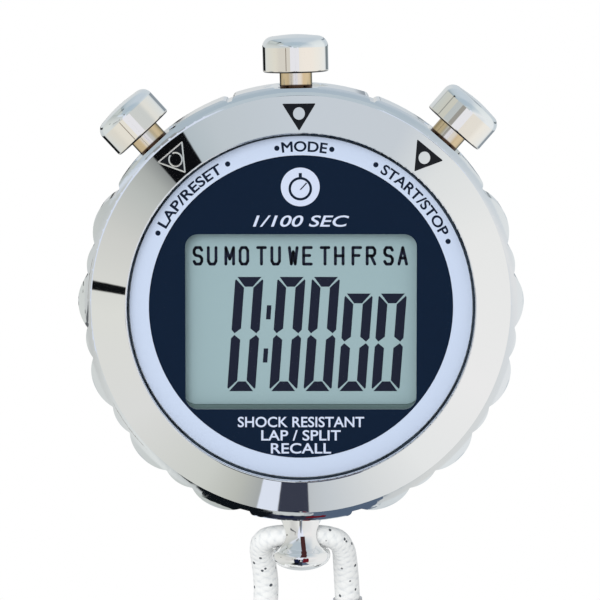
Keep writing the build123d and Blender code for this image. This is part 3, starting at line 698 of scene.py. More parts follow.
def ring_outlines(x: float, y: float, inner: float, outer: float, steps: int) -> list[Outline]:
    """Outlines of the short plates that make a flat ring.

    Args:
        x: Middle of the ring.
        y: Middle of the ring.
        inner: Inner radius.
        outer: Outer radius.
        steps: Number of plates.

    Returns:
        One outline for each plate.
    """
    near = circle_outline(x, y, inner, steps)
    far = circle_outline(x, y, outer, steps)
    return [[near[at - 1], far[at - 1], far[at], near[at]] for at in range(steps)]


# ---- lettering --------------------------------------------------------------------------
@dataclass(frozen=True)
class Label:
    """A line of raised print.

    Attributes:
        text: What it says.
        width: Its width.
        cap: Height of its capitals.
        weight: Bevel that makes the strokes heavier, in units of the font's size.
        slant: Shear of an italic line.
    """

    text: str
    width: float
    cap: float
    weight: float = 0.0
    slant: float = 0.0

    CURVE_STEPS = 5

    def shape(self) -> bmesh.types.BMesh:
        """Makes the line's letters.

        Returns:
            Their mesh in millimetres, centred on x = 0, with its foot on y = 0 and from 0
            to 1 in z.
        """
        curve = bpy.data.curves.new("line", "FONT")
        curve.body = self.text
        curve.bevel_depth = self.weight
        curve.bevel_resolution = 0
        curve.shear = self.slant
        # Any depth will do, because the letters are made 1 deep below.
        curve.extrude = 0.5
        curve.resolution_u = self.CURVE_STEPS
        holder = bpy.data.objects.new("line", curve)
        bpy.context.scene.collection.objects.link(holder)
        bpy.context.view_layer.update()
        graph = bpy.context.evaluated_depsgraph_get()
        mesh = bpy.data.meshes.new_from_object(holder.evaluated_get(graph))
        bpy.data.objects.remove(holder)
        bpy.data.curves.remove(curve)
        shape = bmesh.new()
        shape.from_mesh(mesh)
        bpy.data.meshes.remove(mesh)
        lows = [min(vert.co[axis] for vert in shape.verts) for axis in range(3)]
        highs = [max(vert.co[axis] for vert in shape.verts) for axis in range(3)]
        for vert in shape.verts:
            x, y, z = vert.co
            vert.co = (
                ((x - lows[0]) / (highs[0] - lows[0]) - 0.5) * self.width,
                (y - lows[1]) / (highs[1] - lows[1]) * self.cap,
                (z - lows[2]) / (highs[2] - lows[2]),
            )
        return shape


class PrintedSheet:
    """Several labels and signs of one colour on one level, joined in one piece.

    Attributes:
        name: Name of the piece.
        height: Height of the level.
        finish: Its surface.
        whole: What is printed so far, in metres.
    """

    def __init__(self, name: str, height: float, finish: Finish) -> None:
        """Starts an empty sheet.

        Args:
            name: Name of the piece.
            height: Height of the level.
            finish: Its surface.
        """
        self.name = name
        self.height = height
        self.finish = finish
        self.whole = bmesh.new()

    def _take(self, shape: bmesh.types.BMesh) -> None:
        """Adds a shape to the sheet and frees it."""
        mesh = write_mesh("part", shape)
        self.whole.from_mesh(mesh)
        bpy.data.meshes.remove(mesh)

    def _set(self, label: Label, bend: Callable[[float, float], Point]) -> None:
        """Adds a label's letters.

        Args:
            label: The label.
            bend: Turns a place on the straight line into a plan position.
        """
        shape = label.shape()
        for vert in shape.verts:
            x, y = bend(vert.co.x, vert.co.y)
            vert.co = (x * MM, y * MM, (self.height + vert.co.z * PRINT_T) * MM)
        self._take(shape)

    def straight(self, label: Label, foot: float) -> None:
        """Prints a label along X, centred on the case axis, with its foot at a y."""
        self._set(label, lambda x, y: (x, foot + y))

    def bent(self, label: Label, clock: float, foot: float) -> None:
        """Prints a label round the case axis.

        Args:
            label: The label.
            clock: Clock angle of its middle.
            foot: Radius of the circle that its foot stands on.
        """
        middle = foot + label.cap / 2
        self._set(label, lambda x, y: clock_point(clock + math.degrees(x / middle), foot + y))

    def plates(self, outlines: list[Outline]) -> None:
        """Prints plain shapes."""
        self._take(flat_plates(outlines, self.height, PRINT_T))

    def done(self) -> bpy.types.Object:
        """Links the sheet as one piece."""
        return place_mesh(self.name, outward_mesh(self.name, self.whole), self.finish)


@dataclass(frozen=True)
class SegmentDigit:
    """A zero of six lit segments.

    Attributes:
        x: Left end of its foot.
        foot: Place of its foot in y.
        height: Its height.
        width: Its width.
        stroke: Width of its uprights.
        bar: Depth of its upper and lower bar.
        slant: How far it leans to the right, as a share of its height.
    """

    x: float
    foot: float
    height: float
    width: float = 3.96
    stroke: float = 1.32
    bar: float = 1.38
    slant: float = 0.074

    def outlines(self) -> list[Outline]:
        """Shapes the six segments.

        Returns:
            Their outlines, from the upper left upright and the upper bar.
        """
        wide, high, stroke, bar = self.width, self.height, self.stroke, self.bar
        middle = high / 2
        # Corners of the upper left upright and of the upper bar, with their bevelled ends.
        upright = [
            (0.0, middle + 0.62), (0.45, middle + 0.12), (stroke, middle + 0.8),
            (stroke, high - bar - 0.14), (0.14, high - 0.34), (0.0, high - 0.5),
        ]
        top_bar = [
            (0.3, high), (stroke + 0.1, high - bar), (wide - stroke - 0.1, high - bar),
            (wide - 0.3, high),
        ]
        lower_left = [(x, high - y) for x, y in upright]
        lower_bar = [(x, high - y) for x, y in top_bar]
        right = [[(wide - x, y) for x, y in shape] for shape in (upright, lower_left)]
        return [[(self.x + x + y * self.slant, self.foot + y) for x, y in shape]
                for shape in (upright, lower_left, top_bar, lower_bar, *right)]


@dataclass(frozen=True)
class StrokeLetter:
    """A plain capital drawn with strokes of one width.

    Attributes:
        name: The capital.
        width: Its width.
        height: Its height.
        stroke: Width of its strokes.
    """

    name: str
    width: float = 1.5
    height: float = 2.75
    stroke: float = 0.42

    ROUND_STEPS = 12
    LINES = {
        "A": (((0, 0), (0.5, 1), (1, 0)), ((0.2, 0.36), (0.8, 0.36))),
        "E": (((1, 1), (0, 1), (0, 0), (1, 0)), ((0, 0.52), (0.8, 0.52))),
        "F": (((0, 0), (0, 1), (1, 1)), ((0, 0.52), (0.8, 0.52))),
        "H": (((0, 0), (0, 1)), ((1, 0), (1, 1)), ((0, 0.5), (1, 0.5))),
        "M": (((0, 0), (0, 1), (0.5, 0.3), (1, 1), (1, 0)),),
        "O": (((0.22, 0), (0.78, 0), (1, 0.18), (1, 0.82), (0.78, 1), (0.22, 1), (0, 0.82),
               (0, 0.18), (0.22, 0)),),
        "R": (((0, 0), (0, 1), (0.78, 1), (1, 0.85), (1, 0.65), (0.78, 0.5), (0, 0.5)),
              ((0.5, 0.5), (1, 0))),
        "S": (((1, 0.84), (0.8, 1), (0.2, 1), (0, 0.84), (0, 0.66), (0.2, 0.53), (0.8, 0.47),
               (1, 0.34), (1, 0.16), (0.8, 0), (0.2, 0), (0, 0.16)),),
        "T": (((0, 1), (1, 1)), ((0.5, 1), (0.5, 0))),
        "U": (((0, 1), (0, 0.18), (0.22, 0), (0.78, 0), (1, 0.18), (1, 1)),),
        "W": (((0, 1), (0.25, 0), (0.5, 0.75), (0.75, 0), (1, 1)),),
    }

    def outlines(self, x: float, y: float) -> list[Outline]:
        """Shapes the strokes and their round ends.

        Args:
            x: Middle of the letter.
            y: Place of its foot.

        Returns:
            Their outlines.
        """
        wide, high, half = self.width - self.stroke, self.height - self.stroke, self.stroke / 2
        shapes = []
        for line in self.LINES[self.name]:
            places = [Vector((x + (u - 0.5) * wide, y + half + v * high)) for u, v in line]
            for start, end in zip(places, places[1:]):
                side = (end - start).orthogonal().normalized() * half
                shapes.append([tuple(at) for at in (start - side, end - side, end + side,
                                                    start + side)])
            shapes += [circle_outline(*place, half, self.ROUND_STEPS) for place in places]
        return shapes


@dataclass(frozen=True)
class Display:
    """What the liquid crystal shows: a row of weekdays and the running time.

    Attributes:
        foot: Place of the digits' feet in y.
        tall: Height of the tall digits.
        tall_x: Left ends of the tall digits' feet.
        short: Height of the short digits.
        short_x: Left ends of the short digits' feet.
        colon: Middles of the colon's two dots.
        dot: Width and height of such a dot.
        dot_lean: How far its ends lie to the side of its middle.
        weekdays: The weekdays' two letters.
        weekday_x: Middle of the first pair of letters.
        weekday_y: Place of the letters' feet.
        weekday_pitch: From one pair to the next.
        letter_side: From the middle of a pair to the middle of its letter.
    """

    foot: float = -12.14
    tall: float = 16.2
    tall_x: tuple[float, ...] = (-10.43, -4.5, 0.34)
    short: float = 13.85
    short_x: tuple[float, ...] = (5.14, 9.93)
    colon: tuple[Point, ...] = ((-4.55, -0.95), (-5.0, -7.07))
    dot: Point = (0.64, 2.0)
    dot_lean: float = 0.07
    weekdays: tuple[str, ...] = ("SU", "MO", "TU", "WE", "TH", "FR", "SA")
    weekday_x: float = -13.5
    weekday_y: float = 5.67
    weekday_pitch: float = 4.47
    letter_side: float = 1.0

    def build(self) -> bpy.types.Object:
        """Makes the lit segments as one thin sheet on the display's glass.

        Returns:
            The sheet.
        """
        sheet = PrintedSheet("lcd_segments", DISPLAY_Z, LCD_DARK)
        digits = [SegmentDigit(x, self.foot, self.tall) for x in self.tall_x]
        digits += [SegmentDigit(x, self.foot, self.short) for x in self.short_x]
        sheet.plates([outline for digit in digits for outline in digit.outlines()])
        sheet.plates([self._dot(*middle) for middle in self.colon])
        for index, (left, right) in enumerate(self.weekdays):
            x = self.weekday_x + self.weekday_pitch * index
            sheet.plates(StrokeLetter(left).outlines(x - self.letter_side, self.weekday_y))
            sheet.plates(StrokeLetter(right).outlines(x + self.letter_side, self.weekday_y))
        return sheet.done()

    def _dot(self, x: float, y: float) -> Outline:
        """Shapes a dot of the colon.

        Args:
            x: Its middle in x.
            y: Its middle in y.

        Returns:
            Its outline.
        """
        wide, high = self.dot[0] / 2, self.dot[1] / 2
        low, top = x - self.dot_lean, x + self.dot_lean
        return [(low - wide, y - high), (low + wide, y - high), (top + wide, y + high),
                (top - wide, y + high)]


@dataclass(frozen=True)
class RingLabel:
    """A button's name on the pale ring, between two dots.

    Attributes:
        text: What it says.
        clock: Clock angle of its middle.
        width: Its width.
        dots: Clock angles of its dots.
    """

    text: str
    clock: float
    width: float
    dots: tuple[float, float]


@dataclass(frozen=True)
class DialPrint:
    """Lettering of the dial and of the pale ring.

    Attributes:
        names: The button names.
        name_foot: Radius that their feet stand on.
        name_cap: Height of their capitals.
        name_weight: Their weight.
        dot_r: Radius of the dots beside them.
        lines: The dial's lines, each with the place of its foot.
        disc: Middle and radius of the clock sign's pale disc.
        rim: Middle, inner and outer radius of the sign's rim.
        marks: Outlines of the sign's crown and hand.
        dot_steps: Corners of a dot.
        rim_steps: Corners of the rim.
        disc_steps: Corners of the disc.
    """

    names: tuple[RingLabel, ...] = (
        RingLabel("MODE", 1.2, 6.4, (-8.6, 11.0)),
        RingLabel("START/STOP", 46.7, 13.0, (27.6, 65.8)),
        RingLabel("LAP/RESET", -44.8, 11.8, (-27.0, -62.5)),
    )
    name_foot: float = 21.85
    name_cap: float = 1.5
    name_weight: float = 0.022
    dot_r: float = 0.37
    lines: tuple[tuple[Label, float], ...] = (
        (Label("1/100 SEC", 13.5, 1.6, weight=0.012, slant=0.25), 11.3),
        (Label("SHOCK RESISTANT", 17.8, 1.5, weight=0.014), -17.05),
        (Label("LAP / SPLIT", 11.2, 1.5, weight=0.014), -18.95),
        (Label("RECALL", 8.5, 1.5, weight=0.014), -20.8),
    )
    disc: tuple[float, float, float] = (-0.1, 16.9, 2.72)
    rim: tuple[float, float, float, float] = (-0.1, 16.65, 1.3, 1.65)
    marks: tuple[tuple[Point, ...], ...] = (
        ((-0.32, 18.3), (0.12, 18.3), (0.12, 18.85), (-0.32, 18.85)),
        ((-0.2, 16.5), (0.0, 16.5), (0.85, 17.4), (0.72, 17.53)),
    )
    dot_steps: int = 24
    rim_steps: int = 40
    disc_steps: int = 64

    def ring(self) -> bpy.types.Object:
        """Prints the button names round the pale ring, each between two dots.

        Returns:
            The printed piece.
        """
        sheet = PrintedSheet("ring_lettering", RING_Z, DARK_PRINT)
        for name in self.names:
            label = Label(name.text, name.width, self.name_cap, self.name_weight)
            sheet.bent(label, name.clock, self.name_foot)
            middles = [clock_point(dot, self.name_foot + self.name_cap / 2) for dot in name.dots]
            sheet.plates([circle_outline(*middle, self.dot_r, self.dot_steps)
                          for middle in middles])
        return sheet.done()

    def dial(self) -> bpy.types.Object:
        """Prints the lines of the dial and the disc of its clock sign.

        Returns:
            The printed piece.
        """
        sheet = PrintedSheet("dial_lettering", DIAL_Z, PALE_PRINT)
        for label, foot in self.lines:
            sheet.straight(label, foot)
        sheet.plates([circle_outline(*self.disc, self.disc_steps)])
        return sheet.done()

    def sign(self) -> bpy.types.Object:
        """Prints the clock sign on its disc.

        Returns:
            The printed piece.
        """
        sheet = PrintedSheet("dial_sign", DIAL_Z + PRINT_T, DARK_PRINT)
        sheet.plates(ring_outlines(*self.rim, self.rim_steps))
        sheet.plates([list(mark) for mark in self.marks])
        return sheet.done()


# ---- chrome bezel -----------------------------------------------------------------------
@dataclass(frozen=True)
class Bezel:
    """Polished bezel with a worn, shining chamfer round its left marker.

    Attributes:
        inner_r: Inner radius of the cone.
        outer_r: Outer radius of the cone.
        rise: Height of the cone.
        lip_r: Radius of the rounded lip.
        lip_middle: Height of the middle of that rounding.
        margin: Engraved edges lie at least this far from the cone's own edges.
        chamfer: Width of the worn strip.
        drop: How far the strip's inner edge lies below the cone.
        lift: How far its outer edge stands proud of the cone.
    """

    inner_r: float = 24.45
    outer_r: float = 29.6
    rise: float = 4.6
    lip_r: float = 0.15
    lip_middle: float = 17.465
    margin: float = 0.3
    chamfer: float = 0.21
    drop: float = 0.035
    lift: float = 0.002

    # Least cosine between a face's normal and the cone's for a face of the cone.
    ON_CONE = 0.9985
    NEAR_CONE = 0.97
    # Normals with a larger cosine between them belong to one wall.
    SAME_WALL = 0.995
    # Keeps the strip short where two walls meet at a very sharp corner.
    SHARP_CORNER = 0.35
    ENGRAVED_ANGLE = math.radians(50)
    SHARP_ANGLE = math.radians(34)
    # How far a corner may lie from the ideal lip.
    LIP_PLAY = 0.01
    # Left of this x, in metres, lies only the left marker.
    LEFT_MARKER_X = -0.01

    def build(self, node: bpy.types.Object) -> bpy.types.Object:
        """Makes the copy with the chamfer that stands for the CAD node.

        Args:
            node: The CAD bezel.

        Returns:
            The piece that is shown in its place.
        """
        shape = merged_copy(node)
        shape.normal_update()
        wear_and_sheen = [edge for edge in shape.edges
                if edge.verts[0].co.x < self.LEFT_MARKER_X and self._engraved(edge)]
        self._chamfer(shape, wear_and_sheen)
        mesh = write_mesh("polished_bezel", shape)
        self._set_normals(mesh)
        piece = place_mesh("polished_bezel", mesh, CHROME)
        mesh.materials.append(WORN.build())
        for face in mesh.polygons[-len(wear_and_sheen):]:
            face.material_index = 1
        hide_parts("front_bezel")
        return piece

    def _cone_normal(self, place: Vector) -> Vector:
        """Exact normal of the cone below or above a place."""
        slope = math.atan2(self.rise, self.outer_r - self.inner_r)
        return outwards(place) * math.sin(slope) + Vector((0, 0, math.cos(slope)))

    def _on_cone(self, place: Vector, normal: Vector, least: float) -> bool:
        """Whether a face looks the way the cone does, up to a least cosine."""
        return normal.dot(self._cone_normal(place)) > least

    def _near_cone(self, face: bmesh.types.BMFace) -> bool:
        """Whether a face may belong to the cone."""
        return self._on_cone(face.calc_center_median(), face.normal, self.NEAR_CONE)

    def _engraved(self, edge: bmesh.types.BMEdge) -> bool:
        """Tells whether an edge lies where a marker or its dot is cut into the cone.

        Args:
            edge: An edge of the joined bezel.

        Returns:
            True where one of its faces is the cone and the other a wall of the engraving.
        """
        if len(edge.link_faces) != 2:
            return False
        for vert in edge.verts:
            radius = math.hypot(vert.co.x, vert.co.y) / MM
            if not self.inner_r + self.margin < radius < self.outer_r - self.margin:
                return False
        first, second = (self._near_cone(face) for face in edge.link_faces)
        return first != second and edge.calc_face_angle(0.0) > self.ENGRAVED_ANGLE

    def _walls(self, edges: list[bmesh.types.BMEdge]) -> dict[bmesh.types.BMVert, list[Vector]]:
        """Gathers the engraved walls that meet at each corner.

        Args:
            edges: The engraved edges.

        Returns:
            The normals of the different walls at each corner of the edges.
        """
        walls: dict[bmesh.types.BMVert, list[Vector]] = {}
        for edge in edges:
            for face in edge.link_faces:
                if self._near_cone(face):
                    continue
                for vert in edge.verts:
                    known = walls.setdefault(vert, [])
                    if all(face.normal.dot(other) < self.SAME_WALL for other in known):
                        known.append(face.normal.copy())
        return walls

    def _chamfer(self, shape: bmesh.types.BMesh, edges: list[bmesh.types.BMEdge]) -> None:
        """Lays a narrow sloping strip along engraved edges.

        Args:
            shape: The joined bezel, which gets the strip's faces last.
            edges: The engraved edges.
        """
        inner, outer = {}, {}
        for vert, normals in self._walls(edges).items():
            cone = self._cone_normal(vert.co)
            mean = sum(normals, Vector())
            reach = mean / max(mean.dot(normals[0]), self.SHARP_CORNER)
            low = vert.co + reach * self.chamfer * MM - cone * self.drop * MM
            outer[vert] = shape.verts.new(vert.co + cone * self.lift * MM)
            inner[vert] = shape.verts.new(low)
        for edge in edges:
            first, last = edge.verts
            strip = shape.faces.new((outer[first], outer[last], inner[last], inner[first]))
            strip.normal_update()
            if strip.normal.z < 0:
                strip.normal_flip()

    def _set_normals(self, mesh: bpy.types.Mesh) -> None:
        """Gives the cone and the lip their exact normals and keeps other faces smooth.

        Args:
            mesh: The bezel's mesh.
        """
        mesh.polygons.foreach_set("use_smooth", [True] * len(mesh.polygons))
        mesh.set_sharp_from_angle(angle=self.SHARP_ANGLE)
        normals = [Vector(corner.vector) for corner in mesh.corner_normals]
        for face in mesh.polygons:
            on_cone = self._on_cone(face.center, face.normal, self.ON_CONE)
            for loop in face.loop_indices:
                place = mesh.vertices[mesh.loops[loop].vertex_index].co
                across = place.xy.length / MM - self.inner_r - self.lip_r
                up = place.z / MM - self.lip_middle
                off = abs(math.hypot(across, up) - self.lip_r)
                if on_cone:
                    normals[loop] = self._cone_normal(place)
                elif up > -self.LIP_PLAY and off < self.LIP_PLAY:
                    lip = outwards(place) * across + Vector((0, 0, up))
                    normals[loop] = lip.normalized()
        mesh.normals_split_custom_set(normals)


# ---- buttons ----------------------------------------------------------------------------
@dataclass(frozen=True)
class ReturnSpring:
    """Return spring of one button, pressed together between the case and the stem.

    Attributes:
        button: Its button.
        seat_r: Distance of the spring's seat from the case axis; not used.
        height: Height of the button's axis; not used.
        length: Length of the spring at rest; not used.
        travel: Travel of the button; not used.
    """

    button: Button
    seat_r: float = 25.3
    height: float = 9.0
    length: float = 3.1
    travel: float = 1.5

    def build(self, node: bpy.types.Object) -> bpy.types.Object:
        """Makes a smooth-shaded copy of the CAD spring, shown in its place.

        Args:
            node: The CAD spring.

        Returns:
            The piece that is shown in its place.
        """
        shape = merged_copy(node)
        for face in shape.faces:
            face.smooth = True
        name = f"{self.button.key}_return_spring"
        piece = place_mesh(name, outward_mesh(name, shape), SPRING)
        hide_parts(node.name)
        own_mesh(piece)
        return piece


# ---- neck cord --------------------------------------------------------------------------
@dataclass(frozen=True)
class NeckCord:
    """The whole neck cord as one curve: out of the eye, round the coil and back.

    Attributes:
        diameter: Cord diameter in metres.
        length: Length of the closed cord in metres.
        centre: Middle of the coil.
        mean_r: Middle radius of the coil.
        half_band: Half the width of the coil's band of turns.
        turns: Turns of the coil.
        start: Angle of the coil's first point, in degrees from +X.
        low_z: Height of the lower layer.
        high_z: Height of the upper layer.
        climb_turns: Turns in which the cord climbs from layer to layer.
        steps: Points of the coil in one turn.
        left: Points from the eye to the coil on the left.
        right: Points from the eye to the coil on the right.
        swell: Thickness at the first points from the eye, as a share of the diameter.
    """

    diameter: float = 0.0034
    length: float = 0.908
    centre: Point = (0.75, -80.0)
    mean_r: float = 17.0
    half_band: float = 6.6
    turns: float = 7 + 260 / 360
    start: float = 140.0
    low_z: float = 2.1
    high_z: float = 5.5
    climb_turns: float = 0.5
    steps: int = 16
    left: tuple[Place, ...] = (
        (0.0, -33.5, 9.0), (-4.15, -33.5, 9.0), (-5.95, -35.0, 6.9), (-5.35, -38.0, 4.4),
        (-4.9, -42.6, 2.4), (-5.6, -48.6, 1.85), (-9.0, -54.6, 1.9), (-13.1, -59.9, 2.1),
    )
    right: tuple[Place, ...] = (
        (0.0, -33.5, 9.0), (4.15, -33.5, 9.0), (6.05, -35.1, 7.1), (6.4, -38.2, 4.9),
        (6.7, -43.0, 2.8), (7.0, -49.0, 2.5), (10.3, -55.2, 2.8), (14.4, -60.3, 4.2),
    )
    swell: tuple[float, ...] = (0.93, 0.93, 0.96, 1.04, 1.07, 1.04)

    ROUND_STEPS = 4
    CURVE_STEPS = 6
    ORDER = 3

    def coil(self) -> list[Place]:
        """Winds the coil, inwards on the lower layer and outwards on the upper.

        Returns:
            Its control points, which stand out a little so that the curve doesn't shrink.
        """
        count = round(self.turns * self.steps)
        stand_out = 1 / math.cos(math.pi / self.steps)
        points = []
        for index in range(count + 1):
            share = index / count
            radius = self.mean_r + self.half_band * (abs(2 * share - 1) * 2 - 1)
            climb = min(max((share - 0.5) * self.turns / self.climb_turns + 0.5, 0.0), 1.0)
            height = self.low_z + (self.high_z - self.low_z) * climb * climb * (3 - 2 * climb)
            turn = math.radians(self.start + 360 * self.turns * share)
            radius *= stand_out
            points.append((self.centre[0] + radius * math.cos(turn),
                           self.centre[1] + radius * math.sin(turn), height))
        return points

    def build(self) -> bpy.types.Object:
        """Returns:
            The cord.
        """
        points = [*self.left, *self.coil(), *reversed(self.right)]
        curve = bpy.data.curves.new("neck_cord", "CURVE")
        curve.dimensions = "3D"
        curve.bevel_depth = self.diameter / 2
        curve.bevel_resolution = self.ROUND_STEPS
        curve.resolution_u = self.CURVE_STEPS
        spline = curve.splines.new("NURBS")
        spline.points.add(len(points) - 1)
        for point, place in zip(spline.points, points):
            point.co = (*(value * MM for value in place), 1.0)
        for index, swell in enumerate(self.swell):
            spline.points[index].radius = swell
            spline.points[-1 - index].radius = swell
        spline.order_u = self.ORDER
        spline.use_endpoint_u = True
        finish = BraidFinish("white braid", (250, 251, 250), roughness=0.9, specular=0.02,
                             length=self.length)
        curve.materials.append(finish.build())
        cord = bpy.data.objects.new("neck_cord", curve)
        bpy.context.scene.collection.objects.link(cord)
        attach(cord, CASE)
        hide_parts("cord_left", "cord_right", "cord_coil")
        LOG.info("neck_cord: %d points in %s", len(points), finish.name)
        return cord


# ---- studio -----------------------------------------------------------------------------
@dataclass(frozen=True)
class Card:
    """A card of the studio, seen only in reflections.

    Attributes:
        azimuth: Clock direction of its middle, in degrees.
        half: Half its width, in degrees.
        low: Its lower edge above the horizon, in degrees.
        high: Its upper edge.
        colour: Display colour of its reflection.
        soft: Width of its soft side edges, in degrees.
        edge: Half the width of its soft upper and lower edge, in degrees.
    """

    azimuth: float
    half: float
    low: float
    high: float
    colour: Colour
    soft: float = 1.0
    edge: float = 1.5

    def lay(self, graph: Graph, azimuth: Socket, rise: Socket, seen: Socket) -> Socket:
        """Lays the card over what is seen so far.

        Args:
            graph: The world's nodes.
            azimuth: Clock direction of the view, in degrees.
            rise: Rise of the view above the horizon, in degrees.
            seen: Colour of what is seen so far.

        Returns:
            The colour with the card.
        """
        around = graph.math("ADD", azimuth, 540.0 - self.azimuth)
        offset = graph.math("SUBTRACT", graph.math("MODULO", around, 360.0), 180.0)
        offset = graph.math("ABSOLUTE", offset)
        across = graph.fade(offset, self.half + self.soft / 2, self.half - self.soft / 2)
        above = graph.fade(rise, self.low - self.edge, self.low + self.edge)
        below = graph.fade(rise, self.high + self.edge, self.high - self.edge)
        mask = graph.math("MULTIPLY", across, graph.math("MULTIPLY", above, below))
        return graph.mix(mask, seen, tone(*self.colour))


@dataclass(frozen=True)
class Flag:
    """A small flag close to the object, seen only in reflections.

    Attributes:
        name: Name of the object.
        centre: Its middle.
        width: Its width along X, at its near end.
        height: Its other side.
        tip: Its tilt about X from flat, in degrees.
        colour: Display colour of its reflection.
        taper: Width of its far end as a share of the near end's.
    """

    name: str
    centre: Place
    width: float
    height: float
    tip: float
    colour: Colour
    taper: float

    def build(self) -> bpy.types.Object:
        """Makes the flag beside the object.

        Returns:
            The flag.
        """
        shape = bmesh.new()
        bmesh.ops.create_grid(shape, x_segments=1, y_segments=1, size=0.5)
        bmesh.ops.scale(shape, vec=(self.width * MM, self.height * MM, 1.0), verts=shape.verts)
        for vert in shape.verts:
            vert.co.x *= self.taper if vert.co.y > 0 else 1.0
        mesh = outward_mesh(self.name, shape)
        flag = bpy.data.objects.new(self.name, mesh)
        flag.location = [value * MM for value in self.centre]
        flag.rotation_euler = (math.radians(self.tip), 0.0, 0.0)
        material = bpy.data.materials.new(self.name)
        graph = Graph.fresh(material)
        glow = graph.node("Emission", {"Color": tone(*self.colour), "Strength": 1.0})
        graph.node("OutputMaterial", {"Surface": glow.outputs[0]})
        mesh.materials.append(material)
        for ray in ("camera", "diffuse", "transmission", "shadow"):
            setattr(flag, f"visible_{ray}", False)
        bpy.context.scene.collection.objects.link(flag)
        return flag


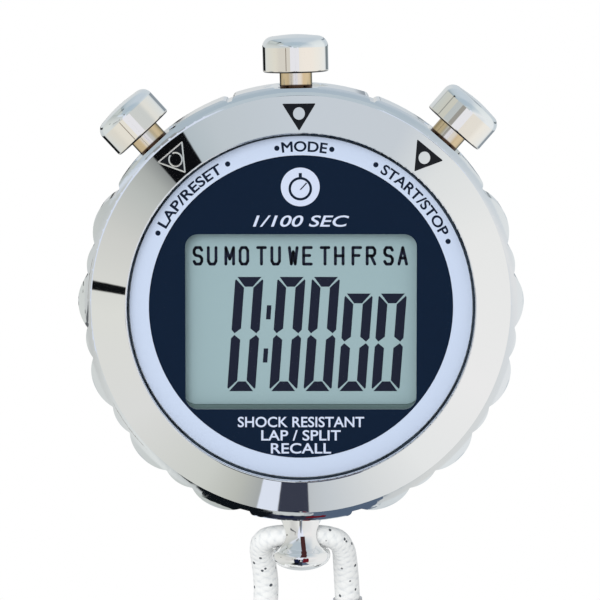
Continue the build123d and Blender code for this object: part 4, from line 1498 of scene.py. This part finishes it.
class Studio:
    """World, lamp, camera and flags."""

    # Walls round the object: clock direction and display colour, at three heights.
    HORIZON = (
        (0, (196, 204, 212)), (33, (197, 204, 211)), (50, (221, 224, 224)),
        (75, (231, 232, 231)), (120, (234, 234, 234)), (146, (228, 230, 230)),
        (160, (214, 217, 218)), (173, (194, 200, 205)), (191, (162, 166, 166)),
        (197, (182, 185, 179)), (206, (201, 204, 199)), (232, (217, 218, 216)),
        (262, (218, 219, 214)),
        (285, (204, 205, 201)), (300, (184, 188, 185)), (306, (170, 174, 171)),
        (311, (136, 140, 140)), (323, (178, 189, 195)), (332, (188, 197, 203)),
    )
    OVERHEAD = (
        (0, (175, 188, 199)), (35, (182, 193, 201)), (48, (196, 204, 210)),
        (70, (214, 218, 221)), (92, (234, 232, 231)), (112, (224, 225, 226)),
        (150, (219, 218, 215)), (163, (200, 202, 202)),
        (206, (204, 206, 204)), (216, (229, 230, 227)), (250, (202, 202, 199)),
        (275, (210, 211, 209)), (290, (196, 198, 195)), (298, (220, 225, 233)),
        (310, (178, 189, 197)), (345, (175, 188, 197)),
    )
    BELOW = (
        (0, (202, 208, 213)), (140, (200, 206, 210)), (230, (196, 199, 200)),
        (285, (212, 214, 214)), (340, (210, 213, 215)),
    )
    # Rise, in degrees, over which one ring of walls gives way to the next.
    OVERHEAD_FADE = (12.0, 36.0)
    BELOW_FADE = (-30.0, -46.0)
    CARDS = (
        Card(269.5, 1.3, 0.5, 7.5, (14, 16, 18), 0.5),
        Card(316.7, 5.8, 6.0, 13, (12, 13, 16), 0.5),
        Card(170.0, 8.0, 1, 86, (86, 100, 120), 2.0),
        Card(195.0, 9.0, 1, 86, (14, 18, 22), 2.0),
        Card(182.0, 5.0, 1, 48, (46, 50, 64), 1.0),
        Card(257.5, 1.6, 25, 60, (96, 98, 100), 1.0),
        Card(188.35, 2.65, -5, 0.5, (217, 224, 238), 0.5, 0.5),
        Card(181.85, 3.85, -5, 0.5, (55, 59, 73), 0.4, 0.5),
        Card(226.0, 4.0, -90, -42, (14, 16, 18), 2.0),
        Card(265.5, 4.5, -90, -42, (14, 16, 18), 2.0),
        Card(48.0, 4.0, -90, -45, (140, 148, 156), 2.0),
        Card(92.0, 4.0, -90, -42, (120, 128, 132), 2.0),
        Card(133.0, 4.0, -90, -45, (140, 148, 156), 2.0),
        Card(226.0, 6.0, 55.0, 57.6, (118, 108, 100), 2.0, 0.6),
        Card(266.0, 6.0, 55.0, 57.6, (118, 108, 100), 2.0, 0.6),
        Card(310.0, 6.0, 58, 74, (150, 152, 152), 2.0),
        Card(0.0, 34.0, 64, 84, (191, 201, 207), 8.0, 1.5),
        Card(309.0, 6.5, -35, 6.3, (196, 200, 196), 2.0, 0.6),
        Card(309.0, 6.5, 10.8, 34, (196, 200, 196), 2.0, 0.6),
    )
    FLAGS = (
        Flag("streak flag", (4.0, -23.2, 27.6), 5.6, 22.0, 139.0, (70, 42, 43), 1.9),
        Flag("red flag", (2.6, -39.8, 18.1), 4.0, 7.6, 4.0, (104, 22, 34), 0.8),
        Flag("navy flag", (-2.5, -40.0, 18.1), 2.9, 7.2, 4.0, (26, 32, 58), 0.8),
    )
    # Round light at the top of the room, which the flat pieces mirror.
    ZENITH = (224, 229, 243)
    ZENITH_AXIS = (-0.0523, -0.0018, 0.9986)
    ZENITH_HALF = 16.0
    ZENITH_EDGE = 0.5
    # Strength of the reflected room, and the even light on everything that isn't glossy.
    GAIN = 1.065
    FILL = (0.70, 0.707, 0.714)

    # The lamp's power in watts, and its size and place in metres.
    LAMP_POWER = 3.2
    LAMP_SIZE = 0.5
    LAMP_PLACE = (-0.25, 0.3, 0.75)

    # The camera in metres: its distance, its aim, the width of its view there, its reach.
    DISTANCE = 0.6
    AIM = (-0.00014, 0.00007, 0.007)
    VIEW_WIDTH = 0.0855
    CLIP = (0.01, 10.0)
    # Its tilt in degrees and its sensor in millimetres.
    TILT = 6.0
    SENSOR = 36.0

    def build(self) -> None:
        """Sets up everything round the object."""
        self._world()
        self._lamp()
        self._camera()
        for flag in self.FLAGS:
            flag.build()
        LOG.info("studio: %d cards, %d flags", len(self.CARDS), len(self.FLAGS))

    def _room(self, graph: Graph) -> Socket:
        """Draws the room that the chrome mirrors.

        Args:
            graph: The world's nodes.

        Returns:
            The room's colour in the direction of the ray.
        """
        ray = graph.coordinate("Generated")
        x, y, z = graph.node("SeparateXYZ", {0: ray}).outputs
        turn = graph.math("DEGREES", graph.math("ARCTAN2", x, y))
        azimuth = graph.math("FLOORED_MODULO", turn, 360.0)
        rise = graph.math("DEGREES", graph.math("ARCSINE", z))
        share = graph.math("DIVIDE", azimuth, 360.0)
        horizon, overhead, below = (
            graph.ramp(share, [(at / 360, tone(*c)) for at, c in [*ring, (360, ring[0][1])]])
            for ring in (self.HORIZON, self.OVERHEAD, self.BELOW)
        )
        seen = graph.mix(graph.fade(rise, *self.OVERHEAD_FADE), horizon, overhead)
        lean = graph.vector("DOT_PRODUCT", ray, self.ZENITH_AXIS).outputs["Value"]
        apart = graph.math("DEGREES", graph.math("ARCCOSINE", lean))
        edges = (self.ZENITH_HALF + self.ZENITH_EDGE, self.ZENITH_HALF - self.ZENITH_EDGE)
        seen = graph.mix(graph.fade(apart, *edges), seen, tone(*self.ZENITH))
        seen = graph.mix(graph.fade(rise, *self.BELOW_FADE), seen, below)
        for card in self.CARDS:
            seen = card.lay(graph, azimuth, rise, seen)
        return seen

    def _world(self) -> None:
        """Sets a white backdrop, even light, and the room for reflections alone."""
        world = bpy.data.worlds.new("studio")
        bpy.context.scene.world = world
        graph = Graph.fresh(world)
        room = graph.node("VectorMath", {0: self._room(graph), "Scale": self.GAIN},
                          operation="SCALE").outputs[0]
        light = graph.node("LightPath")
        glossy = graph.mix(light.outputs["Is Glossy Ray"], self.FILL, room)
        colour = graph.mix(light.outputs["Is Camera Ray"], glossy, (1.0, 1.0, 1.0))
        back = graph.node("Background", {"Color": colour, "Strength": 1.0})
        graph.node("OutputWorld", {"Surface": back.outputs[0]})

    def _lamp(self) -> None:
        """Hangs a large soft lamp up and to the left, which shades the cord and the walls."""
        light = bpy.data.lights.new("soft lamp", "AREA")
        light.energy = self.LAMP_POWER
        light.size = self.LAMP_SIZE
        lamp = bpy.data.objects.new("soft lamp", light)
        lamp.location = self.LAMP_PLACE
        lamp.rotation_euler = (-Vector(self.LAMP_PLACE)).to_track_quat("-Z", "Y").to_euler()
        lamp.visible_glossy = False
        bpy.context.scene.collection.objects.link(lamp)

    def _camera(self) -> None:
        """Sets the camera nearly above the display, tipped a little to twelve o'clock."""
        tilt = math.radians(self.TILT)
        back = Vector((0, math.sin(tilt), math.cos(tilt)))
        up = Vector((0, math.cos(tilt), -math.sin(tilt)))
        data = bpy.data.cameras.new("camera")
        data.sensor_width = self.SENSOR
        data.lens = self.SENSOR / self.VIEW_WIDTH * self.DISTANCE
        data.clip_start, data.clip_end = self.CLIP
        camera = bpy.data.objects.new("camera", data)
        turn = Matrix((up.cross(back), up, back)).transposed()
        place = Matrix.Translation(Vector(self.AIM) + back * self.DISTANCE)
        camera.matrix_world = place @ turn.to_4x4()
        bpy.context.scene.collection.objects.link(camera)
        bpy.context.scene.camera = camera


# ---- whole object -----------------------------------------------------------------------
@dataclass
class Stopwatch:
    """The stopwatch's looks, sub-assembly by sub-assembly.

    Attributes:
        nodes: CAD nodes by name.
        display: What the liquid crystal shows.
        print: Lettering of dial and ring.
        bezel: The chrome bezel.
        cord: The neck cord.
    """

    nodes: dict[str, bpy.types.Object]
    display: Display = field(default_factory=Display)
    print: DialPrint = field(default_factory=DialPrint)
    bezel: Bezel = field(default_factory=Bezel)
    cord: NeckCord = field(default_factory=NeckCord)

    def paint_nodes(self) -> None:
        """Gives every CAD node its finish."""
        finishes = dict(NODE_FINISHES)
        for button in Button:
            for piece, finish in BUTTON_FINISHES.items():
                finishes[f"{button.key}_{piece}"] = finish
        for name, node in self.nodes.items():
            if name in finishes:
                node.data.materials.clear()
                node.data.materials.append(finishes[name].build())
                LOG.info("%s: %s", name, finishes[name].name)

    def build(self) -> None:
        """Adds every piece."""
        self.paint_nodes()
        self.display.build()
        self.print.ring()
        self.print.dial()
        self.print.sign()
        self.bezel.build(self.nodes["front_bezel"])
        for button in Button:
            ReturnSpring(button).build(self.nodes[f"{button.key}_spring"])
        self.cord.build()


def main() -> None:
    """Builds the scene round the frame."""
    logging.basicConfig(level=logging.INFO, format="%(name)s: %(message)s")
    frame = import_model()
    Stopwatch(frame["nodes"]).build()
    Studio().build()
    bpy.context.scene.view_settings.view_transform = "Standard"


if __name__ == "__main__":
    main()
